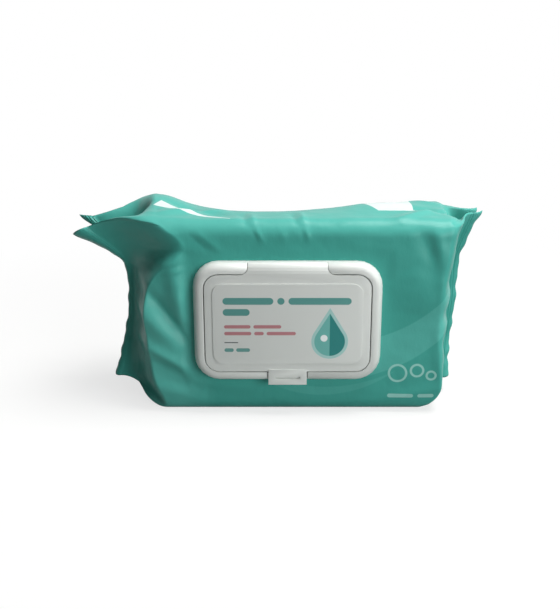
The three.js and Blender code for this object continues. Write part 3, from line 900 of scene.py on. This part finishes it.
class FilmPouch:
    """The film, drawn as lines that run the length of the pack and sections that go round it."""

    def __init__(self, size: PouchSize) -> None:
        """Work out the film's own measures and lay out its lines.

        Args:
            size: the sizes of the pouch.
        """
        self.size = size
        self.arc_half = size.edge_radius * math.pi / 4
        self.tuck_half = size.depth / 2 - size.edge_radius + self.arc_half
        self.span = size.height - 2 * size.edge_radius + 2 * self.arc_half
        self.tuck_share = self.tuck_half / self.span
        self.relief = FilmRelief()
        self.panels, self.ways = self.lines()

    def lines(self) -> tuple[np.ndarray, np.ndarray]:
        """Spread the film lines over the four panels.

        Returns:
            Each line's panel number and its distance from the fold where that panel begins.
        """
        panels, ways = [], []
        for panel, length, count in (
                (Panel.FRONT, self.span, self.size.front_lines),
                (Panel.TOP, 2 * self.tuck_half, self.size.top_lines),
                (Panel.BACK, self.span, self.size.back_lines),
                (Panel.UNDER, 2 * self.tuck_half, self.size.under_lines)):
            panels += [panel.value] * count
            ways += list(np.linspace(0, length, count, endpoint=False))
        return np.array(panels), np.array(ways)

    def free_of_lid(self, x: np.ndarray, z: np.ndarray) -> np.ndarray:
        """How slack the front film is beside the bonded lid frame.

        Args:
            x: the points' places along the pack.
            z: their heights.

        Returns:
            0 under the lid frame's bond and 1 away from it, for each point.
        """
        over_x = np.abs(x - self.size.lid_x) - self.size.lid_width / 2
        over_z = np.abs(z - self.size.height / 2) - self.size.lid_height / 2
        return smooth((np.maximum(over_x, over_z) - 1) / 7)

    def face_relief(self, panel: Panel, x: np.ndarray, z: np.ndarray) -> np.ndarray:
        """How far the front or the back bulges, held flat at its fold lines, the lid and the seam.

        Args:
            panel: the front or the back.
            x: the points' places along the pack.
            z: their heights.

        Returns:
            The relief of each point.
        """
        held = smooth((z - 2) / 12) * smooth((self.size.height - z) / 10)
        if panel is Panel.FRONT:
            return sum(f.relief(x, z) for f in self.relief.front_folds) * self.free_of_lid(x, z) * held
        relief = sum(f.relief(x, z) for f in self.relief.back_folds)
        relief = relief + sum(w.relief(x, z) for w in self.relief.back_swells)
        beside_seam = np.abs(z - self.size.seam_z) - self.size.seam_half
        return relief * smooth(beside_seam / 8) * held

    def panel_points(self, panel: Panel, x: np.ndarray, ways: np.ndarray) -> np.ndarray:
        """Points of one panel's film lines where they pass the filled body.

        Args:
            panel: the panel.
            x: each line's place along the pack.
            ways: each line's distance from the fold where the panel begins.

        Returns:
            An array of points, one row for each line.
        """
        size = self.size
        broad = panel in (Panel.TOP, Panel.UNDER)
        length = 2 * self.tuck_half if broad else self.span
        flat = (size.depth if broad else size.height) - 2 * size.edge_radius
        a = ways - length / 2
        past = np.maximum(0, np.abs(a) - flat / 2) / size.edge_radius
        along = np.sign(a) * (np.minimum(np.abs(a), flat / 2) + size.edge_radius * np.sin(past))
        inward = size.edge_radius * (1 - np.cos(past))
        if broad:
            y = along if panel is Panel.TOP else -along
            z = size.height - inward if panel is Panel.TOP else inward
        else:
            side = -1 if panel is Panel.FRONT else 1
            z = size.height / 2 - side * along
            y = side * (size.depth / 2 - inward + self.face_relief(panel, x, z))
        lift = smooth((z - size.height + size.crown) / size.crown)
        lift = lift * sum(w.relief(x, y) for w in self.relief.top_swells)
        if panel is Panel.TOP:
            lift = lift + sum(f.relief(x, y) for f in self.relief.top_folds) * smooth((z - 104) / 8)
        return np.column_stack([x, y, z + lift])

    def body(self, x: np.ndarray) -> np.ndarray:
        """Points of every film line where it passes the filled body.

        Args:
            x: one place along the pack for each line.

        Returns:
            An array of points, one row for each line.
        """
        out = np.zeros((len(x), 3))
        for panel in Panel:
            pick = self.panels == panel.value
            out[pick] = self.panel_points(panel, x[pick], self.ways[pick])
        return out

    def seal_share(self) -> tuple[np.ndarray, np.ndarray, np.ndarray]:
        """Find where each film line meets an end seal.

        Returns:
            Each line's share of the seal's height, the face of the seal that it lies on, from 1 on the
            front to -1 on the back with the tucked plies between them, and whether it is in the front half.
        """
        count = len(self.ways)
        share, face, front = np.zeros(count), np.zeros(count), np.zeros(count, bool)
        for panel in Panel:
            pick = self.panels == panel.value
            d = self.ways[pick]
            if panel is Panel.FRONT:
                share[pick], face[pick], front[pick] = d / self.span, 1, True
            elif panel is Panel.BACK:
                share[pick], face[pick], front[pick] = 1 - d / self.span, -1, False
            else:
                from_fold = np.minimum(d, 2 * self.tuck_half - d) / self.span
                half = (panel is Panel.TOP) == (d <= self.tuck_half)
                share[pick] = 1 - from_fold if panel is Panel.TOP else from_fold
                outer = np.where(half, 1, -1)
                face[pick] = outer * (0.15 + 0.85 * np.exp(-from_fold * self.span / 0.6))
                front[pick] = half
        return share, face, front

    def seal(self, end: EndShape, reach: float) -> np.ndarray:
        """Points of every film line on an end seal.

        Args:
            end: the end's shape.
            reach: from 0 at the root to 1 at the cut edge.

        Returns:
            An array of points, one row for each line.
        """
        share, face, front = self.seal_share()
        # The seal leaves its root along the pack and bends round to its cut edge.
        root, edge = end.root.at(share), end.edge.at(share)
        width = np.linalg.norm(edge - root, axis=1, keepdims=True)
        bend = root + np.array([[end.side, 0, 0]]) * width * 0.45
        centre = (1 - reach) ** 2 * root + 2 * reach * (1 - reach) * bend + reach ** 2 * edge
        tangent = 2 * (1 - reach) * (bend - root) + 2 * reach * (edge - bend)
        normal = np.column_stack([end.side * tangent[:, 1], -end.side * tangent[:, 0], np.zeros(len(share))])
        normal /= np.linalg.norm(normal, axis=1, keepdims=True)
        rib = self.size.rib_height * math.sin(2 * math.pi * self.size.ribs * reach)
        rib = rib * np.where(front, end.front_ribs, 1.0)
        # The tucked corners at the top and the foot spread by their own shifts.
        up = np.maximum(0, share - 1 + self.tuck_share) / self.tuck_share
        down = np.maximum(0, self.tuck_share - share) / self.tuck_share
        spread = np.zeros((len(share), 3))
        for amount, pick, corner in ((up, front, end.top_front), (up, ~front, end.top_back),
                                     (down, front, end.under_front), (down, ~front, end.under_back)):
            vector = np.array(corner[0]) * (1 - reach) + np.array(corner[1]) * reach
            spread += np.outer(np.where(pick, amount ** 0.85, 0), vector)
        # Two waves of different length leave the cut edge slightly uneven, up to 0.85 mm.
        wave = (0.5 * np.sin(share * 40) + 0.35 * np.sin(share * 71 + 1.3)) * reach
        return centre + normal * (face * self.size.seal_half + rib + wave)[:, None] + spread

    def start_x(self, end: EndShape) -> np.ndarray:
        """Find where each film line leaves the filled body for an end.

        Args:
            end: the end's shape.

        Returns:
            Each line's place along the pack. The back is drawn in less than the rest.
        """
        plain = np.full(len(self.ways), self.size.left if end.side < 0 else self.size.right)
        z = self.body(plain)[:, 2]
        drawn = sum(length * np.exp(-((z - at) / reach) ** 2) for at, reach, length in end.drawn_in)
        return plain - end.side * drawn * np.where(self.panels == Panel.BACK.value, 0.6, 1.0)

    def gather(self, end: EndShape, t: float) -> np.ndarray:
        """Pleats of the film as it is drawn in from the body to an end seal.

        Args:
            end: the end's shape.
            t: from 0 at the body to 1 at the seal.

        Returns:
            How far each film line stands out, in millimetres.
        """
        # Three wavelengths, in millimetres, keep the pleats from looking regular.
        v = self.ways + 37.0 * self.panels
        phase = 1.7 * end.side
        wave = np.sin(v / 5.3 + phase) * np.sin(v / 9.1 + 2 * phase) + 0.35 * np.sin(v / 2.6 + 3 * phase)
        return wave * math.sin(math.pi * t) ** 2 * self.size.pleat

    def end_points(self, end: EndShape, t: float) -> np.ndarray:
        """Points of every film line between the filled body and the root of an end seal.

        Args:
            end: the end's shape.
            t: from 0 at the body to 1 at the seal.

        Returns:
            An array of points, one row for each line.
        """
        start = self.body(self.start_x(end))
        finish = self.seal(end, 0.0)
        run = np.abs(finish[:, :1] - start[:, :1])
        broad = (self.panels == Panel.TOP.value) | (self.panels == Panel.UNDER.value)
        side = np.array([[end.side, 0, 0]])
        _, _, front = self.seal_share()
        # The film's way to the seal is a curve of four points, raised to a crest at the upper left.
        crest = np.exp(-((start[:, 2] - self.size.height) / 9) ** 2) * (end.side < 0)
        first = start + side * run * np.where(broad, 0.5, end.turn)[:, None]
        first[:, 2] += crest * np.where(front, 3.0, 5.0)
        second = finish - side * run * 0.45
        second[:, 2] += crest * np.where(front, 9.0, 5.0)
        near = (1 - t) ** 3 * start + 3 * t * (1 - t) ** 2 * first
        return near + 3 * t * t * (1 - t) * second + t ** 3 * finish

    def sections(self) -> tuple[np.ndarray, np.ndarray]:
        """Draw all sections of the film from its left cut edge to its right one.

        Returns:
            The points of each section, and how far its pleats push each point out, in millimetres.
        """
        steps, rib_steps = self.size.body_sections, self.size.sections_per_rib * self.size.ribs
        ends = np.linspace(0, 1, self.size.end_sections)
        left, right = self.start_x(LEFT_END), self.start_x(RIGHT_END)
        rings = [self.seal(LEFT_END, k / rib_steps) for k in range(rib_steps, 0, -1)]
        rings += [self.end_points(LEFT_END, t) for t in ends[::-1]]
        rings += [self.body(left + (right - left) * k / steps) for k in range(1, steps)]
        rings += [self.end_points(RIGHT_END, t) for t in ends]
        rings += [self.seal(RIGHT_END, (k + 1) / rib_steps) for k in range(rib_steps)]
        on_seal, on_body = np.zeros((rib_steps, len(self.ways))), np.zeros((steps - 1, len(self.ways)))
        pleats = [on_seal, [self.gather(LEFT_END, t) for t in ends[::-1]], on_body,
                  [self.gather(RIGHT_END, t) for t in ends], on_seal]
        return np.array(rings), np.concatenate(pleats)

    def slack(self, point: np.ndarray) -> float:
        """Fine slack of the film at a point in millimetres: broad waves and smaller ones on them."""
        x, y, z = point
        broad = self.size.slack * noise.noise(Vector((x / 26, y / 14, z / 15)))
        return broad + self.size.small_slack * noise.noise(Vector((x / 9 + 7, y / 6, z / 6)))

    def wrinkled(self, rings: np.ndarray, pleats: np.ndarray) -> np.ndarray:
        """Push the film in and out along its normals by pleats and fine slack.

        Args:
            rings: the points of each section.
            pleats: how far the pleats push each of them out.

        Returns:
            The moved points. Those on the floor, under the lid frame and on the seals stay.
        """
        along = np.gradient(rings, axis=0)
        around = np.roll(rings, -1, axis=1) - np.roll(rings, 1, axis=1)
        normal = np.cross(along, around)
        normal /= np.linalg.norm(normal, axis=2, keepdims=True) + 1e-9
        slack = np.array([[self.slack(point) for point in ring] for ring in rings])
        base = rings[:, :, 2] < 3.0
        lid_part = np.where((self.panels == Panel.FRONT.value)[None, :],
                            self.free_of_lid(rings[:, :, 0], rings[:, :, 2]), 1.0)
        amount = (pleats + slack) * lid_part * np.where(base, 0.0, 1.0)
        edge = np.minimum(np.arange(len(rings)), np.arange(len(rings))[::-1])
        amount *= smooth((edge - self.size.still_sections) / 12)[:, None]
        return rings - normal * amount[:, :, None]

    def in_mouth(self, point: np.ndarray) -> bool:
        """Tell whether a point of the film lies inside the die-cut mouth of the front.

        Args:
            point: the point in millimetres.

        Returns:
            True inside the mouth, which is a slot with round ends.
        """
        if point[1] > 0:
            return False
        radius = self.size.mouth_height / 2
        dx = max(abs(point[0] - self.size.lid_x) - self.size.mouth_width / 2 + radius, 0)
        return math.hypot(dx, point[2] - self.size.height / 2) < radius

    def build(self, material: bpy.types.Material) -> bpy.types.Object:
        """Build the pouch as one mesh with its dispensing mouth cut out.

        Args:
            material: the film's finish.

        Returns:
            The new object.
        """
        rings = self.wrinkled(*self.sections())
        sections, lines = rings.shape[:2]
        faces = []
        for s in range(sections - 1):
            for i in range(lines):
                j = (i + 1) % lines
                if not self.in_mouth(rings[s, i]):
                    faces.append([s * lines + i, (s + 1) * lines + i, (s + 1) * lines + j, s * lines + j])
        faces.append(list(range(lines)))
        faces.append([(sections - 1) * lines + i for i in range(lines)][::-1])
        pouch = add_mesh("film", (rings.reshape(-1, 3) * MM).tolist(), faces, material)
        face_outward(pouch, clean=True)
        return pouch


@dataclass(frozen=True)
class BackSeam:
    """The long fin that closes the film tube, folded down and pressed flat on the back."""

    left: float = -76.0
    right: float = 84.0
    low: float = 43.0
    high: float = 57.0
    thickness: float = 0.9
    sunk: float = 0.4
    rib_height: float = 0.12
    free_lift: float = 0.5
    wall: float = 32.5
    columns: int = 160
    rows: int = 12

    def build(self, material: bpy.types.Material) -> bpy.types.Object:
        """Build the seam as a ribbed flap with a slightly lifted free edge.

        Args:
            material: the film's finish.

        Returns:
            The new object.
        """
        verts, faces = [], []
        for layer in (0, 1):
            for i in range(self.columns + 1):
                for k in range(self.rows + 1):
                    u, w = i / self.columns, k / self.rows
                    x = self.left + (self.right - self.left) * u
                    z = self.low + (self.high - self.low) * w
                    lift = self.free_lift * (1 - w) * (1 + 0.6 * math.sin(u * 23) * math.sin(u * 9 + 1))
                    outer = self.wall + self.thickness + lift * 0.6 + self.rib_height * math.sin(w * 30)
                    y = self.wall - self.sunk if layer == 0 else outer
                    verts.append((x * MM, y * MM, z * MM))
        step, size = self.rows + 1, (self.columns + 1) * (self.rows + 1)
        for i in range(self.columns):
            for k in range(self.rows):
                a = i * step + k
                b = a + size
                faces += [(a, a + 1, a + step + 1, a + step), (b, b + step, b + step + 1, b + 1)]
        rim = grid_rim(self.columns + 1, step)
        faces += [(a, b, b + size, a + size) for a, b in zip(rim, rim[1:] + rim[:1])]
        return add_mesh("back_seam", verts, faces, material)


@dataclass(frozen=True)
class Moulding:
    """A moulded piece made from its frame node: true faces joined, edges rounded.

    The radius and the distance at which points merge are in millimetres, the angles in degrees.
    """

    node: str
    name: str
    radius: float
    merge: float = 0.01
    flat_angle: float = 1.5
    edge_angle: float = 35.0
    segments: int = 3

    def build(self, material: bpy.types.Material) -> bpy.types.Object:
        """Copy the node's faces, merge the flat ones and round the edges.

        Args:
            material: the plastic's finish.

        Returns:
            The new object.
        """
        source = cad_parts[self.node]
        source = source if isinstance(source, bpy.types.Object) else bpy.data.objects[self.node]
        mesh = bpy.data.meshes.new(self.name)
        shape = bmesh.new()
        shape.from_mesh(source.data)
        bmesh.ops.remove_doubles(shape, verts=shape.verts, dist=self.merge * MM)
        bmesh.ops.dissolve_limit(shape, angle_limit=math.radians(self.flat_angle),
                                 verts=shape.verts, edges=shape.edges)
        shape.to_mesh(mesh)
        shape.free()
        mesh.materials.clear()
        mesh.materials.append(material)
        obj = bpy.data.objects.new(self.name, mesh)
        bpy.context.scene.collection.objects.link(obj)
        mesh.polygons.foreach_set("use_smooth", [True] * len(mesh.polygons))
        mesh.polygons.foreach_set("material_index", [0] * len(mesh.polygons))
        rounding = obj.modifiers.new("edges", "BEVEL")
        rounding.width = self.radius * MM
        rounding.segments = self.segments
        rounding.limit_method = "ANGLE"
        rounding.angle_limit = math.radians(self.edge_angle)
        rounding.use_clamp_overlap = True
        rounding.harden_normals = True
        return obj


@dataclass(frozen=True)
class SlotFloors:
    """The thin floors that close the frame's hollow rim under the hinge strap and under the thumb tab.

    Each floor is its half width and the heights of its two long edges, in millimetres.
    """

    x: float = -2.0
    film: float = -32.5
    under: float = 1.7
    top: float = 2.6
    groove: float = 0.4
    groove_at: float = 1.6
    ease: float = 0.25
    strap: Place = (27.0, 86.2, 91.8)
    tab: Place = (13.0, 22.2, 27.8)

    def profile(self, low: float, high: float) -> list[Point]:
        """Section of a floor, with eased edges and the groove of the hinge line.

        Args:
            low: the height of its lower edge.
            high: the height of its upper edge.

        Returns:
            Points as their height and their distance from the film.
        """
        groove = high - self.groove_at
        return [(low, self.under), (high, self.under), (high, self.top - self.ease),
                (high - self.ease, self.top), (groove + self.groove, self.top),
                (groove, self.top - self.groove), (groove - self.groove, self.top),
                (low + self.ease, self.top), (low, self.top - self.ease)]

    def build(self, material: bpy.types.Material) -> bpy.types.Object:
        """Build both floors as flat-shaded plates.

        Args:
            material: the plastic's finish.

        Returns:
            The new object.
        """
        verts, faces = [], []
        for half, low, high in (self.strap, self.tab):
            profile = self.profile(low, high)
            first, count = len(verts), len(profile)
            for x in (self.x - half, self.x + half):
                verts += [(x * MM, (self.film - h) * MM, z * MM) for z, h in profile]
            for k in range(count):
                j = (k + 1) % count
                faces.append((first + k, first + count + k, first + count + j, first + j))
            faces.append(tuple(first + k for k in range(count)))
            faces.append(tuple(first + count + k for k in reversed(range(count))))
        floors = add_mesh("slot_floors", verts, faces, material)
        floors.data.polygons.foreach_set("use_smooth", [False] * len(floors.data.polygons))
        face_outward(floors)
        return floors


@dataclass(frozen=True)
class LeadingWipe:
    """The first wipe: one cloth folded in three, its front drawn up through the mouth as a tuft."""

    x: float = 4.5
    z: float = 49.5
    front: float = -31.0
    half_width: float = 63.0
    half_height: float = 36.0
    plies: int = 3
    pitch: float = 1.1
    thick: float = 0.35
    tuft: Point = (-2.0, 57.0)
    rise: float = 4.0
    columns: int = 110
    ply_points: int = 56
    turn_points: int = 8

    def height(self, u: float, w: float) -> float:
        """How far the front ply stands out at a distance (u, w) from the tuft, in millimetres.

        Args:
            u: distance along the pack.
            w: distance up the pack.

        Returns:
            The height over the flat cloth.
        """
        # A slanting tuft, slack creases around it and fine lines of pull beyond them.
        peak = math.exp(-(u / 13.0) ** 2 - ((w - 0.12 * u) / 4.2) ** 2)
        crease = 0.5 * math.sin(0.55 * u + 0.9 * w) * math.exp(-(u / 20) ** 2 - (w / 9) ** 2)
        pull = 0.35 * math.sin(1.1 * u) * math.exp(-(w / 10) ** 2) * math.exp(-(u / 26) ** 2)
        return self.rise * peak * (0.85 + 0.15 * math.sin(0.9 * u)) + crease * 0.9 + pull

    def profile(self) -> list[tuple[float, float, float, float, bool]]:
        """The folded cloth seen from its end.

        Returns:
            For each point its depth behind the front ply, its height from the middle, the two parts of its
            normal, and whether it belongs to the front ply.
        """
        points = []
        for ply in range(self.plies):
            turn = 1 if ply % 2 == 0 else -1
            for w in np.linspace(-turn * self.half_height, turn * self.half_height, self.ply_points):
                points.append((ply * self.pitch, w, -turn, 0.0, ply == 0))
            if ply + 1 < self.plies:
                for a in np.linspace(0, math.pi, self.turn_points)[1:-1]:
                    y = (ply + 0.5) * self.pitch - self.pitch / 2 * math.cos(a)
                    w = turn * (self.half_height + self.pitch / 2 * math.sin(a))
                    points.append((y, w, -turn * math.cos(a), math.sin(a), False))
        return points

    def build(self, material: bpy.types.Material) -> bpy.types.Object:
        """Args:
            material: the wipe's finish.

        Returns:
            The new object.
        """
        nu, profile = self.columns, self.profile()
        verts, faces = [], []
        for layer in (-0.5, 0.5):
            for i in range(nu + 1):
                x = self.x + self.half_width * (2 * i / nu - 1)
                for depth, w, across, up, shown in profile:
                    z = self.z + w
                    lift = self.height(x - self.tuft[0], z - self.tuft[1]) if shown else 0.0
                    y = self.front + depth - lift + across * layer * self.thick
                    verts.append((x * MM, y * MM, (z + up * layer * self.thick) * MM))
        step, size = len(profile), (nu + 1) * len(profile)
        for i in range(nu):
            for k in range(step - 1):
                a = i * step + k
                b = a + size
                faces += [(a, a + step, a + step + 1, a + 1), (b, b + 1, b + step + 1, b + step)]
        rim = grid_rim(nu + 1, step)
        faces += [(b, a, a + size, b + size) for a, b in zip(rim, rim[1:] + rim[:1])]
        cloth = add_mesh("leading_wipe", verts, faces, material)
        face_outward(cloth)
        return cloth


@dataclass(frozen=True)
class FoldedStack:
    """The folded wipes behind the first one, soft at their edges and waved at each fold."""

    left: float = -63.0
    right: float = 70.0
    depth: float = 56.0
    height: float = 92.0
    middle: Point = (1.5, 48.5)
    layers: int = 26
    groove: float = 0.3
    taper: float = 0.05
    squareness: int = 8
    around: int = 160
    rings: int = 60

    def build(self, material: bpy.types.Material) -> bpy.types.Object:
        """Build the stack as one rounded block with the lines of its folds.

        Args:
            material: the wipes' finish.

        Returns:
            The new object.
        """
        around, rings, power = self.around, self.rings, self.squareness
        verts, faces = [], []
        for r in range(rings + 1):
            x = self.left + (self.right - self.left) * r / rings
            shrink = 1 - self.taper * abs(2 * r / rings - 1) ** power
            for k in range(around):
                a = 2 * math.pi * k / around
                c, s = math.cos(a), math.sin(a)
                scale = (abs(c) ** power + abs(s) ** power) ** (-1 / power)
                y, z = self.depth / 2 * c * scale, self.height / 2 * s * scale
                wave = self.groove * math.cos(2 * math.pi * y / self.depth * self.layers) * abs(s) ** 4
                verts.append((x * MM, (y * shrink + self.middle[0]) * MM,
                              ((z + wave) * shrink + self.middle[1]) * MM))
        for r in range(rings):
            for k in range(around):
                j = (k + 1) % around
                faces.append((r * around + k, r * around + j, (r + 1) * around + j, (r + 1) * around + k))
        faces.append(tuple(range(around))[::-1])
        faces.append(tuple(rings * around + k for k in range(around)))
        return add_mesh("folded_stack", verts, faces, material)


@dataclass(frozen=True)
class SoftLamp:
    """A soft rectangular lamp: its place, the point it faces and its size are in metres."""

    name: str
    place: Place
    aim: Place
    size: Point
    watts: float
    colour: Place

    def build(self) -> None:
        """Hang the lamp."""
        data = bpy.data.lights.new(self.name, "AREA")
        data.shape = "RECTANGLE"
        data.size, data.size_y = self.size
        data.energy = self.watts
        data.color = self.colour
        obj = bpy.data.objects.new(self.name, data)
        obj.location = self.place
        obj.rotation_euler = (Vector(self.aim) - Vector(self.place)).to_track_quat("-Z", "Y").to_euler()
        bpy.context.scene.collection.objects.link(obj)


@dataclass(frozen=True)
class Studio:
    """A pale floor and backdrop, soft lamps and the camera, in metres."""

    half_width: float = 4.0
    near: float = -3.0
    far: float = 1.2
    curve: float = 0.6
    wall_top: float = 3.0
    floor_under: float = 0.00005
    sky: Place = (0.93, 0.97, 1.0)
    sky_strength: float = 0.06
    mirrored_sky: float = 0.35
    sensor: float = 36.0
    focal_pixels: float = 912.16
    photo_pixels: float = 609.0
    camera_place: Place = (-0.0063, -0.5207, 0.2267)
    camera_down: float = 0.31744
    lamps: tuple[SoftLamp, ...] = (
        SoftLamp("key", (0.34, -0.06, 0.95), (0.0, 0.0, 0.06), (0.55, 0.5), 11.5, (1.0, 1.0, 0.99)),
        SoftLamp("side", (0.95, -0.40, 0.45), (0.0, 0.0, 0.05), (0.5, 0.6), 1.0, (1.0, 1.0, 1.0)),
        SoftLamp("fill", (0.80, -1.0, 0.30), (0.0, 0.0, 0.05), (0.8, 0.6), 8.6, (0.97, 1.0, 1.0)))

    def floor(self) -> None:
        """Add the floor, which curves up into the backdrop behind the pack."""
        verts, faces = [], []
        profile = [(self.near, 0.0), (self.far, 0.0)]
        profile += [(self.far + self.curve * math.sin(a), self.curve * (1 - math.cos(a)))
                    for a in np.linspace(0.1, math.pi / 2, 14)]
        profile.append((self.far + self.curve, self.wall_top))
        for y, z in profile:
            verts += [(x, y, z - self.floor_under) for x in (-self.half_width, self.half_width)]
        for i in range(len(profile) - 1):
            faces.append((2 * i, 2 * i + 1, 2 * i + 3, 2 * i + 2))
        add_mesh("studio_floor", verts, faces, StudioPaper("seamless_paper").build())

    def world(self) -> None:
        """Add a dim even sky that the camera and reflections see as white."""
        world = bpy.data.worlds.new("studio")
        bpy.context.scene.world = world
        world.use_nodes = True
        nodes, links = world.node_tree.nodes, world.node_tree.links
        nodes.clear()
        path = nodes.new("ShaderNodeLightPath")
        dim, bright = nodes.new("ShaderNodeBackground"), nodes.new("ShaderNodeBackground")
        dim.inputs[0].default_value = (*self.sky, 1)
        dim.inputs[1].default_value = self.sky_strength
        bright.inputs[0].default_value = (1, 1, 1, 1)
        bright.inputs[1].default_value = 1.0
        soften, clear, all_seen = (nodes.new("ShaderNodeMath") for _ in range(3))
        soften.operation, clear.operation, all_seen.operation = "MULTIPLY", "MAXIMUM", "MAXIMUM"
        soften.inputs[1].default_value = self.mirrored_sky
        choose, out = nodes.new("ShaderNodeMixShader"), nodes.new("ShaderNodeOutputWorld")
        for source, target in (
                (path.outputs["Is Glossy Ray"], soften.inputs[0]),
                (path.outputs["Is Transmission Ray"], clear.inputs[0]), (soften.outputs[0], clear.inputs[1]),
                (path.outputs["Is Camera Ray"], all_seen.inputs[0]), (clear.outputs[0], all_seen.inputs[1]),
                (all_seen.outputs[0], choose.inputs[0]), (dim.outputs[0], choose.inputs[1]),
                (bright.outputs[0], choose.inputs[2]), (choose.outputs[0], out.inputs[0])):
            links.new(source, target)

    def camera(self) -> None:
        """Place the camera as the photograph's: a long lens, a little above and in front."""
        data = bpy.data.cameras.new("camera")
        data.sensor_fit = "AUTO"
        data.sensor_width = self.sensor
        data.lens = self.focal_pixels / self.photo_pixels * self.sensor
        data.clip_start = 0.01
        obj = bpy.data.objects.new("camera", data)
        obj.location = self.camera_place
        obj.rotation_euler = (math.pi / 2 - self.camera_down, 0, 0)
        bpy.context.scene.collection.objects.link(obj)
        bpy.context.scene.camera = obj

    def build(self) -> None:
        """Set up the whole studio."""
        self.camera()
        self.floor()
        self.world()
        for lamp in self.lamps:
            lamp.build()
        bpy.context.scene.view_settings.view_transform = "Standard"


def main() -> None:
    """Build the studio and the pack, piece by piece, and report each one."""
    logging.basicConfig(level=logging.INFO, format="%(message)s")
    Studio().build()
    log.info("studio ready")
    film = PrintedFilm().build()
    wipe = SpunlaceNonwoven().build()
    pouch = FilmPouch(PouchSize()).build(film)
    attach(pouch, "pack")
    seam = BackSeam().build(film)
    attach(seam, "pack")
    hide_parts("film_pouch")
    log.info("film pouch: %d faces", len(pouch.data.polygons))
    log.info("back seam: %d faces", len(seam.data.polygons))
    for builder, node in ((FoldedStack(), "wipe_stack"), (LeadingWipe(), "first_wipe")):
        piece = builder.build(wipe)
        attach(piece, "pack")
        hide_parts(node)
        log.info("%s: %d faces", piece.name, len(piece.data.polygons))
    for node, name, body, printed in (
            ("lid_frame", "lid_base", "pack", False), ("flip_lid", "lid_cover", "lid", True)):
        finish = MouldedPolypropylene(f"moulded_polypropylene_{name}", printed=printed).build()
        piece = Moulding(node, name, EDGE_RADIUS).build(finish)
        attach(piece, body)
        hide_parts(node)
        log.info("%s: %d faces", piece.name, len(piece.data.polygons))
    floors = SlotFloors().build(MouldedPolypropylene("moulded_polypropylene_slot_floors").build())
    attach(floors, "pack")
    log.info("slot floors: %d faces", len(floors.data.polygons))


if __name__ == "__main__":
    main()
